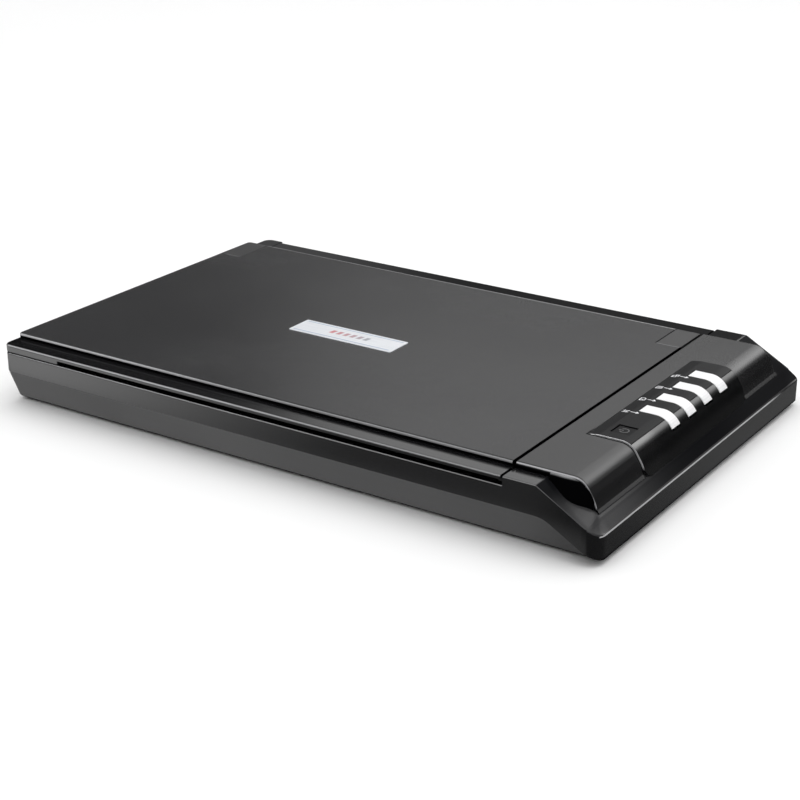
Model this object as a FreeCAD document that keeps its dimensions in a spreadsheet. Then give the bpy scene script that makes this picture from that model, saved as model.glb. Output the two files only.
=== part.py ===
import FreeCAD, Part
import Sketcher
import math
import os

# Flatbed scanner, modelled as the assembly it is.
# Frame: millimetres, +Z up, origin at the centre of the underside.
# +X is the end with the control panel, -Y the long side with the finger grip,
# +Y the long side with the lid hinge.

os.makedirs("parts", exist_ok=True)
doc = FreeCAD.newDocument("flatbed_scanner")
sheet = doc.addObject("Spreadsheet::Sheet", "dims")
V = FreeCAD.Vector
ROW = [1]


class Q:
    """A size, with the spreadsheet expression that gives it."""

    def __init__(self, value, text):
        self.v = float(value)
        self.t = text

    def __add__(self, o):
        o = q(o)
        return Q(self.v + o.v, "(%s + %s)" % (self.t, o.t))

    def __radd__(self, o):
        return q(o) + self

    def __sub__(self, o):
        o = q(o)
        return Q(self.v - o.v, "(%s - %s)" % (self.t, o.t))

    def __rsub__(self, o):
        return q(o) - self

    def __mul__(self, o):
        o = q(o)
        return Q(self.v * o.v, "(%s * %s)" % (self.t, o.t))

    def __rmul__(self, o):
        return q(o) * self

    def __truediv__(self, o):
        o = q(o)
        return Q(self.v / o.v, "(%s / %s)" % (self.t, o.t))

    def __neg__(self):
        return Q(-self.v, "(0 - %s)" % self.t)


def q(x):
    if isinstance(x, Q):
        return x
    text = "%.6f" % x
    return Q(x, text if x >= 0 else "(0 - %.6f)" % -x)


def cell(alias, value, note=""):
    r = ROW[0]
    sheet.set("A%d" % r, note or alias.replace("_", " "))
    sheet.set("B%d" % r, repr(float(value)))
    sheet.setAlias("B%d" % r, alias)
    ROW[0] = r + 1
    return Q(value, "dims." + alias)


# ---------------------------------------------------------------- dimensions
half_len = cell("half_length", 196.0, "half of the overall length")
half_dep = cell("half_depth", 127.5, "half of the overall depth")
foot_top = cell("foot_height", 1.4, "underside of the case above the table")
crease = cell("crease_height", 20.5, "parting line of lower and upper case")
band_top = cell("band_top", 32.0, "top of the upper case's deck")
wall = cell("case_wall", 2.2, "thickness of the case walls")
tub_left = cell("tub_left", 195.0, "left end of the lower case at the parting line")
tub_left_low = cell("tub_left_low", 196.0, "left end of the lower case at its underside")
tub_low_dep = cell("tub_low_half_depth", 119.0, "half depth of the lower case's underside")
corner_r = cell("corner_radius", 9.0, "plan radius of the panel end's near corner")
far_corner_r = cell("far_corner_radius", 3.2, "plan radius of the panel end's far corner")
shoulder = cell("shoulder_height", 36.8, "top of the shoulder beside the panel")
seam = cell("panel_seam", 142.8, "left edge of the panel")
ramp_x = cell("ramp_top_x", 160.9, "where the ramp starts")
ramp_end = cell("ramp_end_height", 16.2, "ramp's height at the end wall")
bend_x = cell("crease_bend_x", 165.4, "where the parting line turns down")
bend_end = cell("crease_end_height", 3.2, "parting line at the end wall")
bend_r = cell("crease_bend_radius", 18.0, "radius of the parting line's bend")
ramp_rise = cell("ramp_crown", 3.5, "how far the ramp is crowned over its straight edge")
top = cell("plate_top", 40.0, "top of the lid and of the panel")
lid_right = cell("lid_right", 141.3, "right edge of the lid")
lid_low = cell("lid_low", 32.9, "lower edge of the lid's rim")
lid_mid = cell("lid_border_top", 37.0, "top of the lid's border")
near_edge = cell("plate_near", 114.7, "near edge of plate and panel")
far_edge = cell("plate_far", 106.2, "far edge of plate and panel")
win_l = cell("window_left", 168.0, "left edge of the scan window")
win_r = cell("window_right", 130.0, "right edge of the scan window")
win_n = cell("window_near", 111.5, "near edge of the scan window")
win_f = cell("window_far", 105.5, "far edge of the scan window")
glass_t = cell("glass_thickness", 3.0, "glass plate")
glass_z = cell("glass_top", 30.8, "top of the glass plate")
pin_y = cell("hinge_y", 123.2, "hinge axis, Y")
pin_z = cell("hinge_z", 32.4, "hinge axis, Z")
pin_r = cell("hinge_pin_radius", 2.0, "hinge pin")
run = cell("running_clearance", 0.05, "radial running clearance")
rod_y = cell("rod_y", 12.0, "guide rod, Y")
rod_z = cell("rod_z", 8.6, "guide rod, Z")
rod_r = cell("rod_radius", 3.0, "guide rod")
home = cell("home_x", 134.0, "carriage centre at home")
gear_x = cell("gear_x", 160.0, "drive gear axis, X")
rack_y = cell("rack_pitch_y", -10.0, "rack's pitch line, Y")
rack_m = cell("rack_module", 0.8, "module of rack and pinion")
wheel_m = cell("wheel_module", 0.5, "module of the reduction")
pin_n = cell("pinion_teeth", 18, "teeth of the rack pinion")
wheel_n = cell("wheel_teeth", 48, "teeth of the wheel")
motor_n = cell("motor_teeth", 18, "teeth of the motor pinion")
cover_x = cell("cover_corner_x", 180.48, "where the panel's top and upper front would meet")
knee_x = cell("cover_knee_x", 186.89, "where the panel's upper and lower front would meet, X")
knee_z = cell("cover_knee_z", 29.93, "where the panel's upper and lower front would meet, Z")
cover_slope = cell("cover_slope", 0.36, "run of the panel's lower front per unit of fall")
knee_r = cell("cover_knee_radius", 26.0, "radius between the upper and lower front")
cover_r = cell("cover_radius", 10.0, "radius of the panel's rolled edge")
pod_rise = cell("pod_rise", 0.9, "how far the pod stands over the panel")
pod_l = cell("pod_left", 156.0, "left edge of the pod")
pod_n = cell("pod_near", 64.0, "near edge of the pod")
pod_f = cell("pod_far", 62.0, "far edge of the pod")
but_l = cell("button_left", 165.3, "left end of the buttons")
but_r = cell("button_right", 185.0, "right end of the buttons")
but_w = cell("button_width", 9.5, "width of a button")
but_pitch = cell("button_pitch", 20.35, "spacing of the buttons")
but_first = cell("button_first_y", -19.6, "centre of the nearest button")
but_gap = cell("button_gap", 0.3, "gap round a button")
pow_x = cell("power_x", 170.5, "centre of the power button, X")
pow_y = cell("power_y", -51.5, "centre of the power button, Y")
doc.recompute()


# ------------------------------------------------------------------- helpers
def bind(obj, prop, value):
    obj.setExpression(prop, q(value).t)


class Piece:
    """A PartDesign body built from padded and pocketed sketches."""

    def __init__(self, label):
        self.body = doc.addObject("PartDesign::Body", label)
        self.body.Label = label
        self.steps = []

    def sketch(self, role, at, loops):
        plane = [o for o in self.body.Origin.OriginFeatures if o.Role == role][0]
        sk = self.body.newObject("Sketcher::SketchObject", self.body.Name + "_sketch")
        sk.AttachmentSupport = [(plane, "")]
        sk.MapMode = "FlatFace"
        at = q(at)
        if role == "XZ_Plane":
            at = -at
        sk.AttachmentOffset = FreeCAD.Placement(V(0, 0, at.v), FreeCAD.Rotation())
        bind(sk, "AttachmentOffset.Base.z", at)
        for pts in loops:
            if pts[0] == "circle":
                cx, cy, r = q(pts[1]), q(pts[2]), q(pts[3])
                g = sk.addGeometry(Part.Circle(V(cx.v, cy.v, 0), V(0, 0, 1), r.v), False)
                for kind, val in (("DistanceX", cx), ("DistanceY", cy)):
                    k = sk.addConstraint(Sketcher.Constraint(kind, -1, 1, g, 3, val.v))
                    bind(sk, "Constraints[%d]" % k, val)
                k = sk.addConstraint(Sketcher.Constraint("Radius", g, r.v))
                bind(sk, "Constraints[%d]" % k, r)
                continue
            pts = [(q(a), q(b)) for a, b in pts]
            n = len(pts)
            first = sk.GeometryCount
            for i in range(n):
                a, b = pts[i], pts[(i + 1) % n]
                sk.addGeometry(Part.LineSegment(V(a[0].v, a[1].v, 0), V(b[0].v, b[1].v, 0)), False)
            for i in range(n):
                sk.addConstraint(Sketcher.Constraint("Coincident", first + i, 2, first + (i + 1) % n, 1))
            for i in range(n):
                for kind, val in (("DistanceX", pts[i][0]), ("DistanceY", pts[i][1])):
                    k = sk.addConstraint(Sketcher.Constraint(kind, -1, 1, first + i, 1, val.v))
                    bind(sk, "Constraints[%d]" % k, val)
        return sk

    def pad(self, role, lo, hi, *loops):
        lo, hi = q(lo), q(hi)
        sk = self.sketch(role, hi if role == "XZ_Plane" else lo, loops)
        f = self.body.newObject("PartDesign::Pad", self.body.Name + "_pad")
        f.Profile = sk
        bind(f, "Length", hi - lo)
        self.steps.append(("add", f))
        return self

    def pocket(self, role, lo, hi, *loops):
        lo, hi = q(lo), q(hi)
        sk = self.sketch(role, lo if role == "XZ_Plane" else hi, loops)
        f = self.body.newObject("PartDesign::Pocket", self.body.Name + "_pocket")
        f.Profile = sk
        bind(f, "Length", hi - lo)
        self.steps.append(("cut", f))
        return self

    def loft(self, sections, cut=False):
        """Loft through (z, loop) sections in planes across Z."""
        sks = [self.sketch("XY_Plane", z, [loop]) for z, loop in sections]
        kind = "PartDesign::SubtractiveLoft" if cut else "PartDesign::AdditiveLoft"
        f = self.body.newObject(kind, self.body.Name + "_loft")
        f.Profile = sks[0]
        f.Sections = sks[1:]
        f.Ruled = True
        self.steps.append(("cut" if cut else "add", f))
        return self

    def fillet(self, radius, pick):
        """Round the edges of the last feature that pick() accepts."""
        doc.recompute()
        base = self.body.Tip
        names = ["Edge%d" % (i + 1) for i, e in enumerate(base.Shape.Edges) if pick(e)]
        if not names:
            raise RuntimeError("no edge to round on " + self.body.Label)
        f = self.body.newObject("PartDesign::Fillet", self.body.Name + "_fillet")
        f.Base = (base, names)
        bind(f, "Radius", radius)
        self.steps.append(("fillet", f))
        return self

    def chamfer(self, size, pick):
        doc.recompute()
        base = self.body.Tip
        names = ["Edge%d" % (i + 1) for i, e in enumerate(base.Shape.Edges) if pick(e)]
        if not names:
            raise RuntimeError("no edge to chamfer on " + self.body.Label)
        f = self.body.newObject("PartDesign::Chamfer", self.body.Name + "_chamfer")
        f.Base = (base, names)
        bind(f, "Size", size)
        self.steps.append(("fillet", f))
        return self


BODIES = []


def piece(label):
    p = Piece(label)
    BODIES.append(p)
    return p


def rect(x0, x1, y0, y1):
    return [(x0, y0), (x1, y0), (x1, y1), (x0, y1)]


def box(x0, x1, y0, y1, z0, z1):
    o = doc.addObject("Part::Box", "Block")
    bind(o, "Length", q(x1) - x0)
    bind(o, "Width", q(y1) - y0)
    bind(o, "Height", q(z1) - z0)
    bind(o, "Placement.Base.x", x0)
    bind(o, "Placement.Base.y", y0)
    bind(o, "Placement.Base.z", z0)
    return o


ROT = {
    "x": FreeCAD.Rotation(V(0, 1, 0), 90),
    "y": FreeCAD.Rotation(V(1, 0, 0), -90),
    "z": FreeCAD.Rotation(),
}


def cyl(axis, x, y, z, r, length):
    """Cylinder from (x, y, z) along +axis."""
    o = doc.addObject("Part::Cylinder", "Round")
    o.Placement = FreeCAD.Placement(V(q(x).v, q(y).v, q(z).v), ROT[axis])
    bind(o, "Radius", r)
    bind(o, "Height", length)
    bind(o, "Placement.Base.x", x)
    bind(o, "Placement.Base.y", y)
    bind(o, "Placement.Base.z", z)
    return o


def body_of(o):
    return o.body if isinstance(o, Piece) else o


def many(objs):
    objs = [body_of(o) for o in objs]
    if len(objs) == 1:
        return objs[0]
    f = doc.addObject("Part::MultiFuse", "Fusion")
    f.Shapes = objs
    f.Refine = True
    return f


def cut(base, *tools):
    f = doc.addObject("Part::Cut", "Cut")
    f.Base = body_of(base)
    f.Tool = many(tools)
    f.Refine = True
    return f


def common(a, b):
    f = doc.addObject("Part::Common", "Common")
    f.Base = body_of(a)
    f.Tool = body_of(b)
    f.Refine = True
    return f


def group(objs):
    """Identical pieces in one node, as separate solids."""
    f = doc.addObject("Part::Compound", "Group")
    f.Links = [body_of(o) for o in objs]
    return f


def rounded(obj, radius, pick):
    """Part fillet on the edges that pick() accepts."""
    doc.recompute()
    f = doc.addObject("Part::Fillet", "Rounded")
    f.Base = body_of(obj)
    r = q(radius).v
    f.Edges = [(i + 1, r, r) for i, e in enumerate(body_of(obj).Shape.Edges) if pick(e)]
    if not f.Edges:
        raise RuntimeError("no edge to round")
    return f


def blended(obj, rules):
    """Part fillet with a radius for each group of edges, made in one go."""
    doc.recompute()
    f = doc.addObject("Part::Fillet", "Blended")
    f.Base = body_of(obj)
    edges = []
    for i, e in enumerate(body_of(obj).Shape.Edges):
        for radius, pick in rules:
            if pick(e):
                edges.append((i + 1, q(radius).v, q(radius).v))
                break
    f.Edges = edges
    return f


NODES = []


def node(name, obj):
    obj = body_of(obj)
    obj.Label = name
    NODES.append((name, obj))
    return obj


def straight(e):
    if len(e.Vertexes) < 2:
        return False
    return abs(e.Length - (e.Vertexes[-1].Point - e.Vertexes[0].Point).Length) < 1e-6


def along(e, axis, tol=1e-4):
    """True for a straight edge parallel to the axis (0 X, 1 Y, 2 Z)."""
    if not straight(e):
        return False
    d = e.Vertexes[-1].Point - e.Vertexes[0].Point
    c = [abs(d.x), abs(d.y), abs(d.z)]
    return all(c[i] < tol for i in range(3) if i != axis)


def mid(e):
    return e.CenterOfMass


def near(a, b, tol=0.05):
    return abs(a - b) < tol


ramp_slope = (shoulder - ramp_end) / (half_len - ramp_x)


def ramp_z(x):
    return shoulder - ramp_slope * (q(x) - ramp_x)


# ------------------------------------------------------------ lower case (tub)
# A tray whose long walls lean inwards towards the underside. Its rim is level
# along the deck and runs down beside the ramp at the panel end.
def tub_solid(label, grow, z0, z1):
    """Tapered block: a trapezium along X crossed with one along Y."""
    def yd(z):
        return tub_low_dep + (half_dep - tub_low_dep) * ((q(z) - foot_top) / (crease - foot_top)) - grow

    def xl(z):
        return tub_left_low + (tub_left - tub_left_low) * ((q(z) - foot_top) / (crease - foot_top)) - grow
    across = piece(label + "_across")
    across.pad("YZ_Plane", -210, half_len - grow, [(-yd(z0), z0), (yd(z0), z0), (yd(z1), z1), (-yd(z1), z1)])
    lengthwise = piece(label + "_lengthwise")
    lengthwise.pad("XZ_Plane", -140, 140, [(-xl(z0), z0), (half_len - grow, z0), (half_len - grow, z1), (-xl(z1), z1)])
    return common(across, lengthwise)


tub_outer = tub_solid("tub_outer", 0, foot_top, crease)
tub_round = blended(tub_outer, [
    (corner_r, lambda e: mid(e).x > 190 and mid(e).y < -100 and near(mid(e).z, 10.95, 0.5)),
    (far_corner_r, lambda e: mid(e).x > 190 and mid(e).y > 100 and near(mid(e).z, 10.95, 0.5)),
    (3.6, lambda e: mid(e).x < -170 and abs(mid(e).y) > 100 and near(mid(e).z, 10.95, 0.5)),
    (3.0, lambda e: near(mid(e).z, 1.4) and e.BoundBox.ZLength < 0.01)])
tub_inner = tub_solid("tub_inner", wall, foot_top + wall, crease)
tub_inner = blended(tub_inner, [
    (corner_r - wall, lambda e: mid(e).x > 185 and mid(e).y < -100 and 11.5 < mid(e).z < 12.5),
    (far_corner_r - wall, lambda e: mid(e).x > 185 and mid(e).y > 100 and 11.5 < mid(e).z < 12.5),
    (1.6, lambda e: mid(e).x < -170 and abs(mid(e).y) > 100 and 11.5 < mid(e).z < 12.5)])
above_rim = piece("above_rim")
above_rim.pad("XZ_Plane", -140, 140, [
    (bend_x - 40, crease), (bend_x, crease), (half_len + 10, bend_end - (crease - bend_end) / (half_len - bend_x) * 10),
    (half_len + 10, 40), (bend_x - 40, 40)])
above_rim.fillet(bend_r, lambda e: along(e, 1) and near(mid(e).x, bend_x.v) and near(mid(e).z, crease.v))

floor_z = foot_top + wall
BOSS = [(-182.2, -70.0), (-182.2, 70.0), (160.0, -84.0), (158.0, 57.2)]
FEET = [(-168.0, -100.0), (-168.0, 100.0), (172.0, -100.0), (172.0, 100.0)]
boss_posts = [cyl("z", x, y, foot_top + 1, 3.0, 15.6) for x, y in BOSS]
boss_posts += [cyl("z", x, y, foot_top + 1, 4.2, 5.0) for x, y in BOSS]
rod_left = box(-183.5, -178.5, rod_y - 6, rod_y + 6, floor_z - 0.5, rod_z)
rod_right = box(178.0, 184.5, rod_y - 6, rod_y + 6, floor_z - 0.5, rod_z)
rod_seat = cyl("x", -184.5, rod_y, rod_z, rod_r, 370.0)
clamp_pilots = [cyl("z", x, rod_y + s, floor_z, 0.8, 8.0) for x in (-181.0, 181.2) for s in (-4.6, 4.6)]
board_posts = [cyl("z", x, y, floor_z - 0.5, 2.6, 3.3) for x, y in ((124.0, 100.0), (172.0, 100.0), (124.0, 70.0), (172.0, 70.0))]
board_pilots = [cyl("z", x, y, floor_z, 0.8, 8.0) for x, y in ((124.0, 100.0), (172.0, 100.0), (124.0, 70.0), (172.0, 70.0))]
rack_ribs = [box(x, x + 4.0, -9.2, -5.0, floor_z - 0.5, 4.4) for x in (-150.0, -70.0, 10.0, 90.0, 165.0)]
tub_shell = cut(tub_round, tub_inner)
tub_body = many([tub_shell] + boss_posts + [rod_left, rod_right] + board_posts + rack_ribs)
tub_cuts = (
    [above_rim, rod_seat]
    + [cyl("z", x, y, foot_top - 1, 1.7, 20.0) for x, y in BOSS]
    + [cyl("z", x, y, foot_top - 1, 3.0, 4.6) for x, y in BOSS]
    + clamp_pilots + board_pilots
    + [box(126.9, 138.1, 106.0, 140.0, 7.9, 18.6), box(141.4, 154.6, 106.0, 140.0, 7.9, 19.4)]
    + [cyl("z", x, y, foot_top - 1, 7.5, 1.8) for x, y in FEET])
node("lower_case", cut(tub_body, *tub_cuts))

# ------------------------------------------------------------------ upper case
# The deck with the scan window, the outer band, the raised shoulder beside the
# lid, and the ramp that runs down to the end wall.
case_outer = piece("case_outer")
case_outer.pad("XZ_Plane", -half_dep, half_dep, [
    (-half_len, crease), (bend_x, crease), (half_len, bend_end), (half_len, ramp_end),
    (ramp_x, shoulder), (seam, shoulder), (seam, band_top), (-half_len, band_top)])
case_outer.pad("XY_Plane", band_top - 0.5, 36.3, rect(-half_len, -183.5, 113.0, half_dep))
case_outer.fillet(corner_r, lambda e: along(e, 2) and near(mid(e).x, 196) and mid(e).y < -127)
case_outer.fillet(far_corner_r, lambda e: along(e, 2) and near(mid(e).x, 196) and mid(e).y > 127)
case_outer.fillet(bend_r, lambda e: along(e, 1) and near(mid(e).x, bend_x.v) and near(mid(e).z, crease.v))
case_outer.fillet(5.0, lambda e: along(e, 2) and near(mid(e).x, -196) and abs(mid(e).y) > 127)
# The ramp is crowned: it keeps its straight edge at the near side and rises
# over it towards the middle, so its foot is steeper there.
CROWN = [(161.0, 0.0), (168.0, 0.25), (175.0, 0.52), (181.0, 0.76), (185.0, 0.90), (187.4, 0.975), (188.6, 0.985),
         (189.6, 0.955), (190.6, 0.83), (191.6, 0.667), (196.0, 0.0)]
RISE = [(-127.5, 0.004), (-125.0, 0.12), (-122.0, 0.40), (-119.0, 0.72), (-116.5, 0.93), (-114.0, 1.0)]
FALL = [(107.0, 1.0), (110.0, 0.96), (114.0, 0.80), (119.0, 0.55), (123.0, 0.36), (127.5, 0.22)]


def crown_loop(k):
    pts = [(x, ramp_z(x) + ramp_rise * (h * k)) for x, h in CROWN]
    return pts + [(196.0, ramp_z(196.0) - 3.0), (165.0, ramp_z(165.0) - 3.0)]


def crown(label):
    """Crown of the ramp: a prism over the middle and a lofted run-out at each end."""
    mid_part = piece(label + "_mid")
    mid_part.pad("XZ_Plane", -114.0, 107.0, crown_loop(1.0))
    parts = [mid_part]
    for tag, rows in (("near", RISE), ("far", FALL)):
        p = piece(label + "_" + tag)
        sks = [p.sketch("XZ_Plane", y, [crown_loop(k)]) for y, k in rows]
        f = p.body.newObject("PartDesign::AdditiveLoft", label + "_" + tag + "_loft")
        f.Profile = sks[0]
        f.Sections = sks[1:]
        p.steps.append(("add", f))
        parts.append(p)
    return parts


plan_corners = blended(box(100, half_len, -half_dep, half_dep, -6, 50), [
    (corner_r, lambda e: along(e, 2) and mid(e).x > 190 and mid(e).y < 0),
    (far_corner_r, lambda e: along(e, 2) and mid(e).x > 190 and mid(e).y > 0)])
case_crown = common(many(crown("case_crown")), plan_corners)
case_inner = piece("case_inner")
case_inner.pad("XZ_Plane", -(half_dep - wall), half_dep - wall, [
    (-(half_len - wall), 16.0), (158.0, 16.0), (half_len - wall, -1.5), (half_len - wall, ramp_end - 1.4),
    (ramp_x - 0.7, shoulder - wall), (seam + 2.0, shoulder - wall), (seam + 2.0, band_top - 2.0),
    (-(half_len - wall), band_top - 2.0)])
case_inner.fillet(corner_r - wall, lambda e: along(e, 2) and near(mid(e).x, 193.8) and mid(e).y < -120)
case_inner.fillet(far_corner_r - wall, lambda e: along(e, 2) and near(mid(e).x, 193.8) and mid(e).y > 120)
case_inner.fillet(2.8, lambda e: along(e, 2) and near(mid(e).x, -193.8) and abs(mid(e).y) > 120)
case_shell = cut(many([case_outer, case_crown]), case_inner)
# Underside of the band beside the ramp, out to the leaning wall of the tub.
under_band = piece("under_band")
under_band.pad("XZ_Plane", -half_dep, half_dep, [
    (bend_x - 8.0, crease), (bend_x, crease), (half_len, bend_end), (half_len, bend_end + 2.4),
    (bend_x, crease + 2.4), (bend_x - 8.0, crease + 2.4)])
under_band.fillet(bend_r, lambda e: along(e, 1) and near(mid(e).x, bend_x.v) and near(mid(e).z, crease.v))
under_band.pocket("XZ_Plane", -113.5, 113.5, [
    (bend_x - 9.0, -5.0), (half_len + 1, -5.0), (half_len + 1, crease + 5), (bend_x - 9.0, crease + 5)])
case_under = common(under_band, plan_corners)
case_body = many([
    case_shell,
    case_under,
    box(-187.5, 144.0, 116.4, half_dep, 24.8, band_top),           # floor and front wall of the hinge trough
    box(-193.9, -183.2, 116.4, half_dep - 1.0, 24.8, 36.0),        # left hinge boss
    box(seam, 154.0, 116.4, half_dep - 1.0, 24.8, 36.0),           # right hinge boss
] + [common(cyl("z", x, y, 18.0, 3.3, 20.0), case_outer) for x, y in BOSS])
case_cuts = [
    box(-win_l, win_r, -win_n, win_f, 20, 45),                                      # scan window
    box(-176.2, 139.2, -114.8, 109.6, 29.0, glass_z + 0.2),                         # seat of the glass
    box(-183.2, seam, 118.6, 140.0, 27.0, 50.0),                                    # hinge trough
    box(146.0, 183.0, -60.5, 53.7, 18.0, 45.0),                                     # bay under the panel
    cyl("x", -191.5, pin_y, pin_z, pin_r + run, 12.0),
    cyl("x", seam - 1, pin_y, pin_z, pin_r + run, 10.0),
] + [cyl("z", x, y, 10.0, 1.2, 17.0) for x, y in BOSS]
case_raw = cut(case_body, *case_cuts)
case_round = rounded(case_raw, 0.9, lambda e: (
    (near(mid(e).x, 196) and near(mid(e).z, 16.2, 0.3) and along(e, 1))
    or (near(abs(mid(e).y), 127.5) and near(mid(e).z, 36.8) and along(e, 0))
    or (near(mid(e).y, -127.5) and near(mid(e).z, 32.0) and along(e, 0))))
node("upper_case", case_round)


# ---------------------------------------------------------------- panel cover
# The panel's surface: level, rolled over with a radius, then falling steeply to
# the ramp. Skins at different offsets of that surface make the cover, the pod,
# the overlay and the button tops.
def skin(label, off, left, y0, y1, lead=0.0, floor=12.0):
    off = q(off)
    corner = cover_x + off * 0.5486
    kx, kz = knee_x + off * 0.9032, knee_z + off * 0.4434
    foot = knee_x + cover_slope * (knee_z - floor) + off * 1.0628
    p = piece(label)
    pts = [(left, floor)]
    if q(lead).v > 0:
        pts += [(left, top + off - lead), (q(left) + 6.0, top + off)]
    else:
        pts += [(left, top + off)]
    pts += [(corner, top + off), (kx, kz), (foot, floor)]
    p.pad("XZ_Plane", y0, y1, pts)
    p.fillet(knee_r + off, lambda e: along(e, 1) and near(mid(e).x, kx.v, 0.2) and near(mid(e).z, kz.v, 0.2))
    p.fillet(cover_r + off, lambda e: along(e, 1) and near(mid(e).x, corner.v, 0.2) and near(mid(e).z, (top + off).v, 0.2))
    return p


def ramp_block():
    p = piece("under_ramp")
    p.pad("XZ_Plane", -150, 150, [
        (120, -5), (120, shoulder), (ramp_x, shoulder), (210, ramp_z(210)), (210, -5)])
    return p


under_ramp = many([ramp_block()] + crown("under_crown"))
under_lip = piece("under_lip")
under_lip.pad("XZ_Plane", -116.0, 109.0, [(175.0, 10.0)] + [(x, ramp_z(x) + ramp_rise * h + 0.35) for x, h in CROWN if x >= 175.0]
              + [(196.0, 10.0)])
cover_full = skin("cover_full", 0, seam, -near_edge, 107.0)
cover_round = rounded(cover_full, 1.2, lambda e: (
    (near(mid(e).y, -114.7) or near(mid(e).y, 107.0)) and mid(e).x > 143.5 and mid(e).z > 15.0))
cover_hollow = skin("cover_hollow", -2.0, seam + 2.0, -near_edge + 2.0, 105.0)


def cheek(label, ys, side):
    """Flare between the cover's side edge and the ramp: triangular sections
    across X, lofted into one smooth bulge."""
    p = piece(label)
    rows = [(162.5, 0.35), (168.3, 0.68), (175.2, 1.0), (181.4, 0.62), (186.8, 0.12)]
    sks = []
    y_edge = ys
    for x, k in rows:
        if x <= 175:
            z_top = 39.3
        elif x <= 184:
            z_top = 40.0 - 10.0 + math.sqrt(max(100.0 - (x - 175.0) ** 2, 0.0)) - 0.9
        else:
            z_top = 29.93 - (x - 186.89) / 0.36 - 1.0
        if x < 175:
            z_top = 39.3 - (175 - x) * 0.0
        z_low = 36.8 - (36.8 - 16.2) / (196.0 - 160.9) * (x - 160.9) - 0.4
        bulge = 6.3 * k
        sks.append(p.sketch("YZ_Plane", x, [[
            (y_edge + side * -0.3, z_low), (y_edge + side * bulge, z_low),
            (y_edge + side * 0.12, max(z_top, z_low + 0.4)), (y_edge + side * -0.3, max(z_top, z_low + 0.4))]]))
    f = p.body.newObject("PartDesign::AdditiveLoft", label + "_loft")
    f.Profile = sks[0]
    f.Sections = sks[1:]
    p.steps.append(("add", f))
    return p


cheek_near = cheek("cheek_near", -114.7, -1)
cheek_far = cheek("cheek_far", 107.0, 1)
# Small outward lip along the cover's foot, on both sides of the pod.
foot_lip = piece("foot_lip")
LIP = [(187.6, 25.2), (188.5, 25.45), (189.72, 24.05), (189.72, 23.0), (187.6, 23.0)]
foot_lip.pad("XZ_Plane", -near_edge, -pod_n - 0.25, LIP)
foot_lip_far = piece("foot_lip_far")
foot_lip_far.pad("XZ_Plane", pod_f + 0.25, 107.0, LIP)
cover_foot = cut(many([cut(cover_round, cover_hollow), foot_lip, foot_lip_far]), under_lip)
cover_body = many([cover_foot, cheek_near, cheek_far])
# the lid's shadow gap runs on along the cover's near side to the flare
cover_gap = box(seam - 1, 161.6, -near_edge - 1, -near_edge + 0.8, shoulder - 1, shoulder + 0.8)
cover_cut = cut(cover_body, under_ramp, box(161.0, 186.2, -60.0, 58.0, 18.0, 60.0), cover_gap)
node("panel_cover", cover_cut)

# --------------------------------------------------------------- button pod
# A bezel on the panel: a thin flange that lies on the cover and a plug that
# fills the cover's opening and guides the buttons.
pod_full = skin("pod_full", pod_rise, pod_l, -pod_n, pod_f, lead=0.85)
pod_edge = rounded(pod_full, 0.45, lambda e: (
    (near(mid(e).y, -pod_n.v) or near(mid(e).y, pod_f.v)) and mid(e).x > 156.5 and mid(e).z > 15.0))
pod_outline = blended(box(pod_l, 200, -pod_n, pod_f, 22.8, 60), [
    (7.0, lambda e: along(e, 0) and near(mid(e).z, 22.8)),
    (2.2, lambda e: along(e, 2) and near(mid(e).x, pod_l.v))])
cover_block = skin("cover_block", 0, seam, -130, 130)
plug_block = skin("plug_block", -2.0, 140.0, -130, 130)
pod_flange = cut(common(pod_edge, pod_outline), cover_block)
film_groove = cut(common(pod_full, box(180.3, 180.62, -pod_n, pod_f, 30, 60)), skin("groove_floor", pod_rise - 0.3, 140.0, -70, 70))
pod_plug = common(cut(pod_full, plug_block), box(161.05, 186.15, -59.95, 57.95, 18.0, 60.0))
pod_posts = [cyl("z", 168.0, y, 31.6, 2.6, 8.0) for y in (31.0, -35.0)]
button_y = [but_first + but_pitch * i for i in range(4)]
slots = [box(but_l - but_gap - 0.2, but_r + but_gap, y - but_w / 2 - but_gap, y + but_w / 2 + but_gap, 20, 60)
         for y in button_y]
slots.append(box(pow_x - 5.5, pow_x + 5.5, pow_y - 5.5, pow_y + 5.5, 20, 60))
pod_cut = cut(many([pod_flange, pod_plug] + pod_posts), under_ramp, film_groove, *(slots + [
    cyl("z", 168.0, y, 31.0, 0.8, 6.0) for y in (31.0, -35.0)]))
node("button_pod", pod_cut)

# Printed overlay on the pod's level part.
label_full = skin("label_full", pod_rise + 0.15, pod_l + 0.6, -pod_n + 0.6, pod_f - 0.6, lead=0.77)
pod_copy = skin("pod_copy", pod_rise, pod_l, -70, 70, lead=0.85)
label_band = common(cut(label_full, pod_copy), rounded(
    box(pod_l + 0.6, 180.3, -pod_n + 0.6, pod_f - 0.6, 30, 60), 1.6, lambda e: along(e, 2) and near(mid(e).x, pod_l.v + 0.6)))
node("control_label", cut(label_band, *[
    box(but_l - but_gap - 0.2, but_r + but_gap, y - but_w / 2 - but_gap, y + but_w / 2 + but_gap, 20, 60) for y in button_y
] + [box(pow_x - 5.5, pow_x + 5.5, pow_y - 5.5, pow_y + 5.5, 20, 60)]))

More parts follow.
